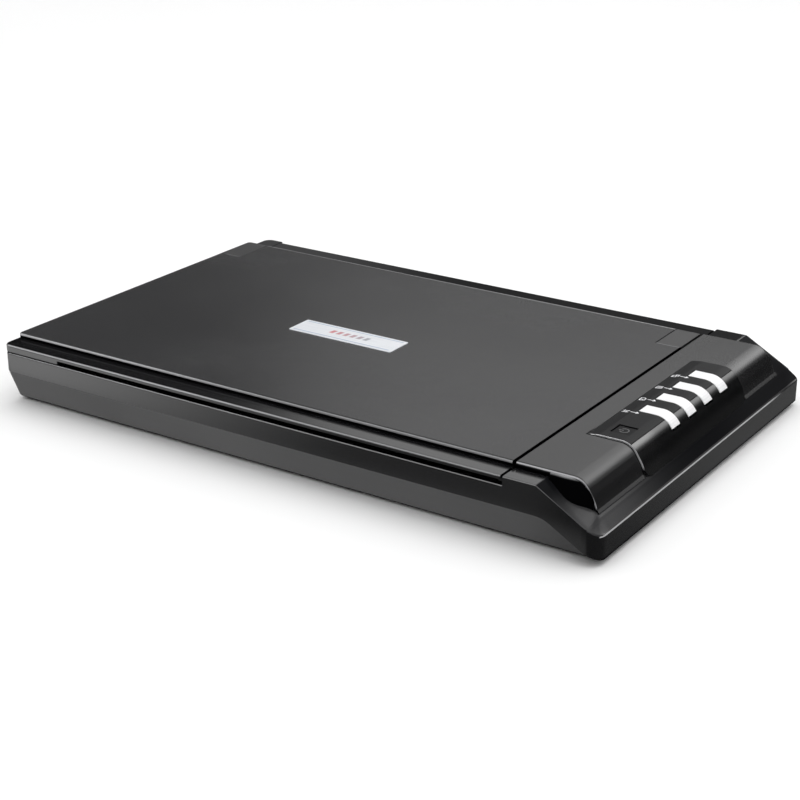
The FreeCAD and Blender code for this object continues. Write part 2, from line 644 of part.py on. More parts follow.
# --------------------------------------------------------------- push buttons
NAMES = ["scan_button", "copy_button", "document_button", "mail_button"]
END_X, END_Z = but_r, 35.24            # top edge of a button's lower end
end_trim = piece("button_end_trim")
end_trim.pad("XZ_Plane", -40, 60, [
    (END_X + 2.53, END_Z + 1.61), (END_X + 7.9, END_Z - 6.82), (END_X + 0.31, END_Z - 11.66), (END_X - 5.06, END_Z - 3.22)])
for name, y in zip(NAMES, button_y):
    full = skin(name + "_top", 1.25, 150.0, y - but_w / 2, y + but_w / 2)
    under = skin(name + "_under", -1.2, 150.0, y - but_w, y + but_w)
    blank = cut(common(cut(full, under), box(but_l, but_r, y - but_w / 2, y + but_w / 2, 20, 60)), end_trim)
    stem = cyl("z", 172.0, y, 34.0, 1.6, 5.5)
    guide = box(166.2, 177.0, y - 0.6, y + 0.6, 35.6, 39.2)
    body = many([blank, stem, guide])
    body = rounded(body, 0.45, lambda e: (
        (near(mid(e).z, 41.25, 0.02)) or (near(abs(mid(e).y - y.v), 4.75, 0.02) and mid(e).x > 174.5 and mid(e).z > 34.6
                                         and not straight(e))))
    node(name, body)
pow_blank = box(pow_x - 5.2, pow_x + 5.2, pow_y - 5.2, pow_y + 5.2, 38.6, 40.55)
pow_blank = rounded(pow_blank, 0.4, lambda e: near(mid(e).z, 40.55))
node("power_button", many([pow_blank, cyl("z", pow_x, pow_y, 34.0, 1.6, 5.0)]))

# Circuit board under the buttons, with a switch under each one.
board_y0, board_y1 = -58.5, 52.0
node("button_board", cut(
    box(160.5, 178.0, board_y0, board_y1, 30.0, 31.6),
    *[cyl("z", 168.0, y, 29.0, 1.3, 4.0) for y in (31.0, -35.0)]))
switches = []
for x, y in [(q(172.0), y) for y in button_y] + [(pow_x, pow_y)]:
    switches.append(many([box(x - 3, x + 3, y - 3, y + 3, 31.6, 32.4), cyl("z", x, y, 32.3, 1.5, 0.6)]))
node("tact_switches", group(switches))
node("button_board_screws", group([
    many([cyl("z", 168.0, y, 28.8, 2.2, 1.2), cyl("z", 168.0, y, 29.9, 0.8, 6.5)]) for y in (31.0, -35.0)]))

# ------------------------------------------------------------ glass and window
node("scan_glass", rounded(
    box(-176.0, 139.0, -114.6, 109.4, glass_z - glass_t, glass_z), 1.5,
    lambda e: along(e, 2)))
node("glass_seal", cut(
    box(-175.5, 138.5, -114.1, 108.9, glass_z, glass_z + 0.2),
    box(-win_l - 1.0, win_r + 7.4, -win_n - 0.8, win_f + 0.8, 30, 32)))
node("calibration_strip", box(win_r + 0.6, win_r + 7.0, -win_n + 0.5, win_f - 0.5, glass_z, glass_z + 0.18))

# ---------------------------------------------------------- guide rod and rack
node("guide_rod", cyl("x", -183.5, rod_y, rod_z, rod_r, 368.0))
clamps = []
for x0, x1 in ((-183.5, -178.5), (178.0, 184.5)):
    clamp = cut(box(x0, x1, rod_y - 6, rod_y + 6, rod_z, rod_z + 4.4), cyl("x", x0 - 1, rod_y, rod_z, rod_r, 9.0),
                *[cyl("z", (x0 + x1) / 2 if x0 > 0 else -181.0, rod_y + s, rod_z - 1, 0.9, 7.0) for s in (-4.6, 4.6)])
    clamps.append(clamp)
node("rod_clamps", group(clamps))
clamp_screws = []
for x in (-181.0, 181.25):
    for s in (-4.6, 4.6):
        clamp_screws.append(many([cyl("z", x, rod_y + s, 5.0, 0.75, 8.2), cyl("z", x, rod_y + s, rod_z + 4.4, 1.3, 1.0)]))
node("rod_clamp_screws", group(clamp_screws))


def involute(z, mod, tooth_at, backlash=0.08, add=1.0, ded=1.25):
    """Outline of a spur gear as a list of plane points."""
    r = z * mod / 2.0
    rb = r * math.cos(math.radians(20))
    ro, rr = r + add * mod, r - ded * mod
    inv20 = math.tan(math.radians(20)) - math.radians(20)
    half = math.pi / (2 * z) - backlash / (2 * r)
    start = max(rb, rr)
    flank = []
    for k in range(7):
        rho = start + (ro - start) * k / 6.0
        a = math.acos(min(1.0, rb / rho))
        flank.append((rho, half + inv20 - (math.tan(a) - a)))
    pts = []
    for i in range(z):
        c = tooth_at + 2 * math.pi * i / z
        if rr < rb - 1e-6:
            pts.append((rr, c - flank[0][1]))
        pts += [(rho, c - h) for rho, h in flank]
        pts += [(rho, c + h) for rho, h in reversed(flank)]
        if rr < rb - 1e-6:
            pts.append((rr, c + flank[0][1]))
    return [(rho * math.cos(t), rho * math.sin(t)) for rho, t in pts]


def slab(pts, z0, z1):
    wire = Part.makePolygon([V(x, y, z0) for x, y in pts] + [V(pts[0][0], pts[0][1], z0)])
    return Part.Face(wire).extrude(V(0, 0, z1 - z0))


def shape(obj_name, shp):
    """A feature whose shape is worked out here from the sheet's numbers."""
    f = doc.addObject("Part::Feature", obj_name)
    f.Shape = shp
    f.Placement = FreeCAD.Placement()
    return f


def val(alias):
    return float(sheet.get(alias))


MOD = val("rack_module")
NP, NW, NM = int(val("pinion_teeth")), int(val("wheel_teeth")), int(val("motor_teeth"))
GX = val("gear_x")
GY = val("rack_pitch_y") - MOD * NP / 2.0
WM = val("wheel_module")
MX, MY = GX, GY - WM * (NW + NM) / 2.0

# Rack: straight 20 degree flanks, teeth pointing to -Y, a space facing the
# pinion's axis at home.
pitch = math.pi * MOD
teeth = []
y_pitch = val("rack_pitch_y")
t20 = math.tan(math.radians(20))
n_left = int((GX - 300.0 - 12.0 + 168.0) / pitch)
x = GX + 0.5 * pitch
while x > -153.0:
    x -= pitch
line = [(x - pitch, y_pitch + 0.95)]
while x < 174.0:
    h = pitch / 4.0 - 0.03
    a, b = 0.7, 0.95
    line += [(x - h - b * t20, y_pitch + b), (x - h + a * t20, y_pitch - a),
             (x + h - a * t20, y_pitch - a), (x + h + b * t20, y_pitch + b)]
    x += pitch
line += [(x, y_pitch + 0.95), (x, y_pitch + 4.6), (line[0][0], y_pitch + 4.6)]
node("drive_rack", shape("drive_rack", slab(line, 4.4, 9.0)))

# Compound gear: the pinion that runs on the rack and the wheel the motor drives.
g_low = slab([(GX + a, GY + b) for a, b in involute(NP, MOD, math.pi / 2)], 4.9, 9.7)
g_wheel = slab([(GX + a, GY + b) for a, b in involute(NW, WM, 0.0, backlash=0.06)], 9.7, 12.2)
g_all = g_low.fuse(g_wheel)
g_all = g_all.cut(Part.makeCylinder(1.5 + val("running_clearance"), 12.0, V(GX, GY, 2.0)))
node("drive_gear", shape("drive_gear", g_all))
m_gear = slab([(MX + a, MY + b) for a, b in involute(NM, WM, 0.0, backlash=0.06)], 9.7, 12.2)
m_gear = m_gear.cut(Part.makeCylinder(1.0, 12.0, V(MX, MY, 5.0)))
node("motor_pinion", shape("motor_pinion", m_gear))
node("motor_shaft", cyl("z", gear_x, MY, 9.4, 1.0, 9.0))

# ------------------------------------------------------------------- carriage
cx0, cx1 = home - 10.4, home + 10.4
holder_cradle = many([
    box(cx0 - 1.6, cx1 + 1.6, -108.0, 101.0, 11.6, 13.0),
    box(cx0 - 1.6, cx0 - 0.2, -108.0, 101.0, 12.0, 18.0),
    box(cx1 + 0.2, cx1 + 1.6, -108.0, 101.0, 12.0, 18.0),
    box(home - 6.0, cx1 + 1.6, rod_y - 7.0, rod_y + 7.0, 4.3, 13.0),
    box(cx1 + 0.2, 176.5, MY - 14.5, GY + 5.0, 13.0, 14.5),
    box(cx1 + 0.2, 152.0, GY + 2.0, rod_y - 6.0, 12.6, 14.5),
])
bore_r = 4.2
holder = cut(holder_cradle,
             cyl("x", home - 8.0, rod_y, rod_z, bore_r, 24.0),
             cyl("z", gear_x, GY, 10.0, 1.5, 8.0),
             cyl("z", gear_x, MY, 10.0, 3.0, 8.0),
             cyl("z", gear_x - 9.6, MY - 9.6, 10.0, 0.8, 8.0), cyl("z", gear_x + 9.6, MY + 9.6, 10.0, 0.8, 8.0),
             box(home - 7.0, cx1 - 2.0, -20.0, -4.5, 9.0, 11.59))
node("carriage_holder", holder)
node("rod_bushings", group([
    cut(cyl("x", x0, rod_y, rod_z, bore_r, 5.0), cyl("x", x0 - 1, rod_y, rod_z, rod_r + run, 7.0))
    for x0 in (home - 6.0, cx1 - 3.4)]))
node("gear_post", cyl("z", gear_x, GY, 4.7, 1.5, 10.6))
node("cis_housing", cut(
    box(cx0, cx1, -113.0, 106.0, 15.4, 27.0),
    box(home - 3.2, home - 0.2, -110.0, 103.0, 17.5, 30.0),
    box(home + 1.6, home + 7.4, -110.0, 103.0, 19.5, 30.0),
    box(cx0 + 2.0, cx1 - 2.0, -110.5, 103.5, 15.0, 17.0)))
node("rod_lens", box(home - 3.0, home - 0.4, -109.5, 102.5, 17.6, 26.4))
node("light_guide", rounded(box(home + 2.0, home + 7.0, -109.5, 102.5, 19.7, 25.6), 1.2,
                            lambda e: along(e, 1) and near(mid(e).z, 25.6)))
node("sensor_board", box(cx0 + 2.2, cx1 - 2.2, -110.0, 103.0, 15.6, 17.0))
node("glide_pads", group([
    cut(box(x - 2.0, x + 2.0, y - 3.0, y + 3.0, 27.0, 27.75), cyl("z", x, y, 26, 0.6, 3.0))
    for x in (home - 7.4,) for y in (-108.0, 101.0)] + [
    cut(box(x - 1.2, x + 1.2, y - 3.0, y + 3.0, 27.0, 27.75), cyl("z", x, y, 26, 0.5, 3.0))
    for x in (home + 9.0,) for y in (-108.0, 101.0)]))
springs = []
for sy in (-92.0, 85.0):
    # low coil of about two turns
    helix = Part.makeHelix(0.85, 1.9, 3.2)
    prof = Part.Wire([Part.makeCircle(0.25, V(3.2, 0, 0), V(0, 1, 0.04))])
    coil = Part.Wire(helix.Edges).makePipeShell([prof], True, True)
    coil.translate(V(val("home_x"), sy, 13.25))
    springs.append(coil)
node("cis_springs", shape("cis_springs", Part.makeCompound(springs)))
motor = cut(many([cyl("z", gear_x, MY, 14.5, 11.5, 10.0),
                  box(gear_x - 12.6, gear_x - 6.0, MY - 12.6, MY - 6.0, 14.5, 15.5),
                  box(gear_x + 6.0, gear_x + 12.6, MY + 6.0, MY + 12.6, 14.5, 15.5)]),
            cyl("z", gear_x, MY, 13.0, 1.0 + run, 5.6),
            cyl("z", gear_x - 9.6, MY - 9.6, 13.0, 1.0, 2.6), cyl("z", gear_x + 9.6, MY + 9.6, 13.0, 1.0, 2.6))
node("stepper_motor", rounded(motor, 1.0, lambda e: near(mid(e).z, 24.5) and e.BoundBox.ZLength < 0.01))
node("motor_screws", group([
    many([cyl("z", gear_x + s, MY + s, 15.5, 1.5, 1.0), cyl("z", gear_x + s, MY + s, 13.2, 0.75, 2.6)]) for s in (-9.6, 9.6)]))

# ---------------------------------------------------- main board and its ports
chips = [box(128.0, 140.0, 78.0, 90.0, 8.0, 9.4), box(150.0, 158.0, 76.0, 84.0, 8.0, 9.2), box(160.0, 168.0, 88.0, 94.0, 8.0, 9.2)]
pcb = cut(box(120.0, 176.0, 66.0, 108.2, 6.4, 8.0),
          *[cyl("z", x, y, 5.0, 1.3, 5.0) for x, y in ((124.0, 100.0), (172.0, 100.0), (124.0, 70.0), (172.0, 70.0))])
tongue = box(126.5, 155.0, 108.0, 118.4, 6.4, 8.0)
node("main_board", many([pcb, tongue]))
node("board_chips", group(chips))
node("board_screws", group([
    many([cyl("z", x, y, 8.0, 2.2, 1.2), cyl("z", x, y, 4.4, 0.75, 3.8)])
    for x, y in ((124.0, 100.0), (172.0, 100.0), (124.0, 70.0), (172.0, 70.0))]))
usb = cut(box(142.0, 154.0, 108.4, 122.4, 8.0, 18.9),
          box(143.8, 152.2, 112.0, 124.0, 9.6, 17.3))
usb = many([usb, box(145.2, 150.8, 111.5, 120.6, 12.0, 15.0)])
usb = cut(usb, box(141.0, 144.9, 121.0, 124.0, 16.6, 20.0), box(151.1, 155.0, 121.0, 124.0, 16.6, 20.0))
node("usb_port", usb)
jack = cut(box(127.6, 137.4, 108.4, 122.2, 8.0, 18.2), cyl("y", 132.5, 112.0, 13.2, 3.2, 14.0))
jack = many([jack, cyl("y", 132.5, 111.5, 13.2, 1.0, 9.6)])
node("power_jack", jack)
sensor = cut(box(150.0, 157.0, 30.0, 36.0, floor_z, 9.6), box(149.0, 158.0, 32.0, 34.0, 6.0, 12.0))
node("home_sensor", sensor)

# Flat flexible cable, pleated while the carriage is at home.
pleats = 13
zig = []
x0 = 150.5
step_x = (184.0 - x0) / pleats
thick = 0.22
up = [(x0 + i * step_x, 11.2 if i % 2 == 0 else 4.5) for i in range(pleats + 1)]
low = [(px, pz - thick * 2.8) for px, pz in up]
ribbon_pts = up + list(reversed(low))
wire = Part.makePolygon([V(a, 39.0, b) for a, b in ribbon_pts] + [V(ribbon_pts[0][0], 39.0, ribbon_pts[0][1])])
node("ribbon_cable", shape("ribbon_cable", Part.Face(wire).extrude(V(0, 13.0, 0))))

# --------------------------------------------------------- feet and case screws
node("rubber_feet", group([
    rounded(cyl("z", x, y, 0.0, 7.4, foot_top + 0.8), 0.5, lambda e: near(mid(e).z, 0.0) and not straight(e))
    for x, y in FEET]))
node("case_screws", group([
    rounded(cut(many([cyl("z", x, y, 3.4, 2.8, 1.6), cyl("z", x, y, 4.9, 1.2, 18.0)]),
                box(x - 1.7, x + 1.7, y - 0.35, y + 0.35, 3.0, 4.1), box(x - 0.35, x + 0.35, y - 1.7, y + 1.7, 3.0, 4.1)),
            0.25, lambda e: near(mid(e).z, 3.4) and e.Length > 15) for x, y in BOSS]))

# ------------------------------------------------------------------------- lid
# Rim: a shallow tray, open underneath, whose hinge beam lies in the trough.
beam_l, beam_r = -181.7, 141.3
rim = piece("rim_blank")
rim.pad("XY_Plane", lid_low, lid_mid, [
    (-half_len, -half_dep), (lid_right, -half_dep), (lid_right, pin_y), (beam_l, pin_y),
    (beam_l, 111.5), (-half_len, 111.5)])
rim.fillet(5.0, lambda e: along(e, 2) and near(mid(e).x, -196) and near(mid(e).y, -127.5))
rim.fillet(2.5, lambda e: along(e, 2) and near(mid(e).x, -196) and near(mid(e).y, 111.5))
rim.fillet(1.1, lambda e: near(mid(e).z, 37.0) and mid(e).y < -126)
rim.pocket("XY_Plane", lid_low - 1, 35.4, rect(-half_len + 2.2, lid_right - 2.0, -half_dep + 2.4, 109.5))
rim.pocket("XY_Plane", lid_low - 1, 34.9, rect(-153.0, lid_right + 1, -half_dep - 1, -half_dep + 2.5))
barrel = cyl("x", beam_l, pin_y, pin_z, 4.3, beam_r - beam_l)
beam_fill = box(beam_l, beam_r, 113.0, pin_y, pin_z, 36.7)
# rear strip steps down a little to the barrel's crown
rear_cut = box(-200.0, 150.0, far_edge + 0.0, 140.0, 36.7, 45.0)
pin_hole_l = cyl("x", beam_l - 1, pin_y, pin_z, pin_r, 13.0)
pin_hole_r = cyl("x", beam_r - 12.0, pin_y, pin_z, pin_r, 13.0)
FIX = [(-187.6, 84.0), (-187.6, 98.0), (133.8, 85.0), (133.8, 99.0)]
lid_posts = [cyl("z", x, y, 33.4, 2.6, 3.0) for x, y in FIX]
node("lid_frame", cut(many([cut(rim, rear_cut), barrel, beam_fill] + lid_posts), pin_hole_l, pin_hole_r,
                      *[cyl("z", x, y, 33.9, 0.8, 5.0) for x, y in FIX]))

# Top plate: a thin shell on the rim, notched for the two hinge caps.
plate = piece("plate_blank")
plate.pad("XY_Plane", lid_mid, top, rect(-half_len, lid_right, -near_edge, far_edge))
plate.fillet(2.7, lambda e: along(e, 2) and near(mid(e).x, -196))
plate.fillet(1.2, lambda e: near(mid(e).z, 40.0) and not (near(mid(e).x, 141.3) and along(e, 1)))
plate.pocket("XY_Plane", lid_mid - 1, top - 1.8, rect(-half_len + 2.2, lid_right - 2.0, -near_edge + 2.2, far_edge - 2.2))
cap_l = box(-200.0, -179.1, 75.8, 120.0, 38.4, 42.0)
cap_r = box(126.1, 150.0, 78.3, 120.0, 38.4, 42.0)
plate_floor = [box(-194.6, -178.0, 74.6, far_edge - 1.2, lid_mid, 38.4), box(125.0, lid_right - 1.0, 77.1, far_edge - 1.2, lid_mid, 38.4)]
# shadow gap along the foot of its near side
plate_gap = box(-half_len + 6, lid_right + 1, -near_edge - 1, -near_edge + 0.8, lid_mid - 1, lid_mid + 0.9)
node("lid_top_plate", cut(many([plate] + plate_floor), cap_l, cap_r, plate_gap,
                          *[cyl("z", x, y, 36.0, 1.2, 5.0) for x, y in FIX]))


def cap(label, x0, x1, y0, y1, corner):
    p = piece(label + "_blank")
    p.pad("XY_Plane", 38.4, top, rect(x0, x1, y0, y1))
    if corner:
        p.fillet(2.6, lambda e: along(e, 2) and near(mid(e).x, q(x0).v) and near(mid(e).y, q(y1).v))
        p.fillet(1.0, lambda e: near(mid(e).z, 40.0) and (near(mid(e).x, q(x0).v, 3.0) or near(mid(e).y, q(y1).v, 3.0)))
    else:
        p.fillet(1.0, lambda e: near(mid(e).z, 40.0) and near(mid(e).y, q(y1).v))
    return cut(p, *[cyl("z", sx, sy, 38.0, 2.2, 1.4) for sx, sy in FIX])


node("hinge_cap_left", cap("hinge_cap_left", -half_len, -179.35, 76.05, far_edge, True))
node("hinge_cap_right", cap("hinge_cap_right", 126.35, lid_right, 78.55, far_edge, False))
node("lid_screws", group([
    many([cyl("z", x, y, 38.4, 1.9, 0.8), cyl("z", x, y, 34.4, 0.75, 4.1)]) for x, y in FIX]))
node("hinge_pins", group([
    cyl("x", -191.0, pin_y, pin_z, pin_r, 20.0),
    cyl("x", 131.0, pin_y, pin_z, pin_r, 20.5)]))

node("name_plate", rounded(rounded(
    box(-66.0, 6.5, -22.0, -2.5, top, top + 0.45), 1.0, lambda e: along(e, 2)), 0.2,
    lambda e: near(mid(e).z, 40.45)))
node("backing_foam", rounded(
    box(-win_l + 3.5, win_r - 3.5, -win_n + 3.0, win_f - 3.0, 31.3, 35.4), 2.0, lambda e: along(e, 2)))
node("white_sheet", rounded(
    box(-win_l + 2.5, win_r - 2.5, -win_n + 2.2, win_f - 2.2, 31.0, 31.3), 2.0, lambda e: along(e, 2)))
BUMP = [(-186.0, -119.5), (-20.0, -119.5), (132.0, -119.5)]
node("lid_bumpers", group([
    rounded(cyl("z", x, y, 32.02, 2.8, 3.38), 0.4, lambda e: near(mid(e).z, 32.02) and not straight(e)) for x, y in BUMP]))

# ---------------------------------------------------------------------- checks
doc.recompute()
failed = []
for obj in doc.Objects:
    bad = [s for s in obj.State if s in ("Invalid", "Error")]
    if bad:
        failed.append("%s (%s) is %s: %s" % (obj.Name, obj.Label, bad, obj.getStatusString()))
if failed:
    raise RuntimeError("; ".join(failed))
for p in BODIES:
    last = 0.0
    for kind, f in p.steps:
        v = f.Shape.Volume
        if kind == "add" and v <= last + 1e-6:
            raise RuntimeError("a pad adds nothing on " + p.body.Label)
        if kind == "cut" and v >= last - 1e-6:
            raise RuntimeError("a pocket cuts nothing on " + p.body.Label)
        last = v
seen = set()
for name, obj in NODES:
    s = obj.Shape
    if name in seen or obj.Label != name:
        raise RuntimeError("name used twice: " + name)
    seen.add(name)
    if s.isNull() or not s.isValid() or not s.Solids or s.Volume <= 0:
        raise RuntimeError("bad shape: " + name)
for name, obj in NODES:
    obj.Shape.exportStep(os.path.join("parts", name + ".step"))
    print("%-20s solids %2d  volume %10.1f" % (name, len(obj.Shape.Solids), obj.Shape.Volume))
print("nodes", len(NODES))
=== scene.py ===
import math
import bpy
import bmesh
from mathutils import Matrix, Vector


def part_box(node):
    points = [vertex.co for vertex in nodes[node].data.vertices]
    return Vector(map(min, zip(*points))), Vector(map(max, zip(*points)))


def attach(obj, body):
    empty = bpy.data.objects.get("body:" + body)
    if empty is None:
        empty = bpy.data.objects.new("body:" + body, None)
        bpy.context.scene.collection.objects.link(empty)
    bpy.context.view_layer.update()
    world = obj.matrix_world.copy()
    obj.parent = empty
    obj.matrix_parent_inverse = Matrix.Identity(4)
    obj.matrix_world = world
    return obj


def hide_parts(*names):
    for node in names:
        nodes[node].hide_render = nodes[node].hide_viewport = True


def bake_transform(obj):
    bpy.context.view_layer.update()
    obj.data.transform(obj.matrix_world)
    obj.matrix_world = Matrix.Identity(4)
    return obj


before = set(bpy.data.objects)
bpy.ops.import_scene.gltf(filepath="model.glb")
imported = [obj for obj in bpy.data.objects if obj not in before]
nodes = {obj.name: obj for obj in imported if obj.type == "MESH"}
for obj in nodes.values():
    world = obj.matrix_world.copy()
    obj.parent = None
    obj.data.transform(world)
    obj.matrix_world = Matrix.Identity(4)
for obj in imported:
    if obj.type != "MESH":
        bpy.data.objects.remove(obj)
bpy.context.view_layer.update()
scene = bpy.context.scene


# ------------------------------------------------------------ node helpers
class Kit:
    """Shorthands for building a node tree."""

    def __init__(self, tree, coords="Object"):
        self.t = tree
        for n in list(self.t.nodes):
            self.t.nodes.remove(n)
        tc = self.t.nodes.new("ShaderNodeTexCoord")
        self.co = tc.outputs[coords]

    def new(self, kind, **props):
        n = self.t.nodes.new(kind)
        for k, v in props.items():
            setattr(n, k, v)
        return n

    def link(self, a, b):
        self.t.links.new(a, b)

    def put(self, socket, value):
        if hasattr(value, "is_linked") or hasattr(value, "links"):
            self.link(value, socket)
        else:
            socket.default_value = value

    def scaled(self, vec):
        n = self.new("ShaderNodeMapping")
        n.inputs["Scale"].default_value = vec
        self.link(self.co, n.inputs["Vector"])
        return n.outputs[0]

    def noise(self, scale, detail=2.0, rough=0.5, vec=None, distort=0.0):
        n = self.new("ShaderNodeTexNoise")
        n.inputs["Scale"].default_value = scale
        n.inputs["Detail"].default_value = detail
        n.inputs["Roughness"].default_value = rough
        n.inputs["Distortion"].default_value = distort
        self.link(vec if vec is not None else self.co, n.inputs["Vector"])
        return n.outputs["Fac"]

    def voronoi(self, scale, feature="F1", vec=None):
        n = self.new("ShaderNodeTexVoronoi")
        n.feature = feature
        n.inputs["Scale"].default_value = scale
        self.link(vec if vec is not None else self.co, n.inputs["Vector"])
        return n.outputs["Distance"]

    def remap(self, value, a, b, c, d):
        n = self.new("ShaderNodeMapRange")
        n.inputs["From Min"].default_value = a
        n.inputs["From Max"].default_value = b
        n.inputs["To Min"].default_value = c
        n.inputs["To Max"].default_value = d
        self.put(n.inputs["Value"], value)
        return n.outputs["Result"]

    def normal(self):
        n = self.new("ShaderNodeSeparateXYZ")
        tc = self.new("ShaderNodeTexCoord")
        self.link(tc.outputs["Normal"], n.inputs[0])
        return n.outputs[0], n.outputs[1], n.outputs[2]

    def band(self, value, lo, hi, soft=0.0001):
        """1 between lo and hi, 0 outside."""
        return self.mul(self.smooth(value, lo - soft, lo + soft), self.smooth(value, hi + soft, hi - soft))

    def smooth(self, value, a, b, c=0.0, d=1.0):
        """Smooth step from c at a to d at b; a may be larger than b."""
        n = self.new("ShaderNodeMapRange")
        n.interpolation_type = "SMOOTHSTEP"
        if a > b:
            a, b, c, d = b, a, d, c
        n.inputs["From Min"].default_value = a
        n.inputs["From Max"].default_value = b
        n.inputs["To Min"].default_value = c
        n.inputs["To Max"].default_value = d
        self.put(n.inputs["Value"], value)
        return n.outputs["Result"]

    def mul(self, *vals):
        out = vals[0]
        for v in vals[1:]:
            out = self.math("MULTIPLY", out, v)
        return out

    def add(self, *vals):
        out = vals[0]
        for v in vals[1:]:
            out = self.math("ADD", out, v)
        return out

    def bell(self, value, centre, width):
        d = self.math("DIVIDE", self.math("SUBTRACT", value, centre), width)
        return self.math("POWER", math.e, self.math("MULTIPLY", self.math("MULTIPLY", d, d), -1.0))

    def lerp(self, fac, a, b):
        n = self.new("ShaderNodeMix", data_type="FLOAT")
        self.put(n.inputs[0], fac)
        self.put(n.inputs[2], a)
        self.put(n.inputs[3], b)
        return n.outputs[0]

    def math(self, op, a, b=0.0, c=0.0):
        n = self.new("ShaderNodeMath", operation=op)
        for s, v in zip(n.inputs, (a, b, c)):
            self.put(s, v)
        return n.outputs[0]

    def mix(self, fac, a, b):
        n = self.new("ShaderNodeMix", data_type="RGBA")
        self.put(n.inputs[0], fac)
        self.put(n.inputs[6], a)
        self.put(n.inputs[7], b)
        return n.outputs[2]

    def axes(self):
        n = self.new("ShaderNodeSeparateXYZ")
        self.link(self.co, n.inputs[0])
        return n.outputs[0], n.outputs[1], n.outputs[2]


class Mat(Kit):
    """A node material with a Principled shader."""

    def __init__(self, name):
        self.m = bpy.data.materials.new(name)
        self.m.use_nodes = True
        Kit.__init__(self, self.m.node_tree)
        self.out = self.t.nodes.new("ShaderNodeOutputMaterial")
        self.b = self.t.nodes.new("ShaderNodeBsdfPrincipled")
        self.link(self.b.outputs[0], self.out.inputs["Surface"])

    def bump(self, height, strength, distance=0.0002, normal=None):
        n = self.new("ShaderNodeBump")
        n.inputs["Strength"].default_value = strength
        n.inputs["Distance"].default_value = distance
        self.put(n.inputs["Height"], height)
        if normal is not None:
            self.link(normal, n.inputs["Normal"])
        self.link(n.outputs[0], self.b.inputs["Normal"])
        return n.outputs[0]

    def set(self, **kw):
        names = {"color": "Base Color", "rough": "Roughness", "metal": "Metallic", "spec": "Specular IOR Level",
                 "coat": "Coat Weight", "coat_rough": "Coat Roughness", "ior": "IOR", "trans": "Transmission Weight",
                 "alpha": "Alpha", "sub": "Subsurface Weight", "sheen": "Sheen Weight", "aniso": "Anisotropic"}
        for k, v in kw.items():
            self.put(self.b.inputs[names[k]], v)
        return self


def rgb(r, g, b, a=1.0):
    return (r, g, b, a)


def srgb(h):
    out = []
    for i in (0, 2, 4):
        c = int(h[i:i + 2], 16) / 255.0
        out.append(c / 12.92 if c <= 0.04045 else ((c + 0.055) / 1.055) ** 2.4)
    return tuple(out) + (1.0,)


# ---------------------------------------------------------------- materials
def moulded(name, base, rough, grain=2400.0, depth=0.18, spread=0.10, spec=0.5, coat=0.0, rough_var=0.05):
    """Spark-eroded moulded plastic: fine grain, faint colour drift, a little
    more gloss where the grain is worn down."""
    m = Mat(name)
    drift = m.noise(9.0, 3.0)
    fine = m.noise(grain, 2.0, 0.6)
    cells = m.voronoi(grain * 0.55)
    dark = tuple(c * (1 - spread) for c in base[:3]) + (1.0,)
    light = tuple(c * (1 + spread) for c in base[:3]) + (1.0,)
    tone = m.math("ADD", m.math("MULTIPLY", drift, 0.6), m.math("MULTIPLY", fine, 0.4))
    m.set(color=m.mix(m.remap(tone, 0.3, 0.7, 0.0, 1.0), dark, light), spec=spec)
    r = m.math("ADD", m.remap(drift, 0.3, 0.7, rough - rough_var, rough + rough_var), m.remap(fine, 0.3, 0.7, -0.03, 0.03))
    m.set(rough=r)
    m.bump(m.math("ADD", fine, m.math("MULTIPLY", cells, 0.7)), depth, 0.00012)
    if coat:
        m.set(coat=coat, coat_rough=rough * 0.5)
    return m


def painted_highlight(m, mask, tone, rough=0.22):
    """Painted highlight: where mask is 1 the plastic is painted paler and smoother, standing in for light caught on an
    edge or a side face.
    """
    base = m.b.inputs["Base Color"].links[0].from_socket
    m.set(color=m.mix(mask, base, tone))
    old = m.b.inputs["Roughness"].links[0].from_socket
    m.set(rough=m.lerp(mask, old, rough))
    return m


def painted_shade(m, mask, tone=(0.0015, 0.0015, 0.0017)):
    """Painted shade: where mask is 1 the plastic is painted a deep matt dark tone, standing in for shadow and missing
    reflections.
    """
    dead = m.new("ShaderNodeBsdfDiffuse")
    fine = m.noise(2600, 2.0)
    m.put(dead.inputs["Color"], m.mix(fine, rgb(*[c * 0.8 for c in tone]), rgb(*[c * 1.25 for c in tone])))
    mixer = m.new("ShaderNodeMixShader")
    m.put(mixer.inputs[0], mask)
    m.link(m.out.inputs["Surface"].links[0].from_socket, mixer.inputs[1])
    m.link(dead.outputs[0], mixer.inputs[2])
    m.link(mixer.outputs[0], m.out.inputs["Surface"])
    return m


def painted_rear_shade(m, mask, x):
    """Rear strip of the lid and case: painted shade in a matt layer, paler towards the left end."""
    return painted_light_and_shade(m, mask, m.mix(m.smooth(x, -0.165, -0.020), rgb(0.058, 0.058, 0.059), rgb(0.0125, 0.0125, 0.0130)))


def painted_light_and_shade(m, mask, tone):
    """Matt layer of painted light and shade over the plastic where mask is 1, in a tone that may vary along the piece.
    """
    dead = m.new("ShaderNodeBsdfDiffuse")
    fine = m.noise(2600, 2.0)
    m.put(dead.inputs["Color"], m.mix(m.remap(fine, 0.3, 0.7, 0.0, 0.2), tone, rgb(0.001, 0.001, 0.001)))
    mixer = m.new("ShaderNodeMixShader")
    m.put(mixer.inputs[0], mask)
    m.link(m.out.inputs["Surface"].links[0].from_socket, mixer.inputs[1])
    m.link(dead.outputs[0], mixer.inputs[2])
    m.link(mixer.outputs[0], m.out.inputs["Surface"])
    return m


CASE = dict(base=rgb(0.0050, 0.0050, 0.0055), rough=0.17, grain=2600, depth=0.015, spread=0.08, rough_var=0.02)
case_plastic = moulded("case_plastic", **CASE)


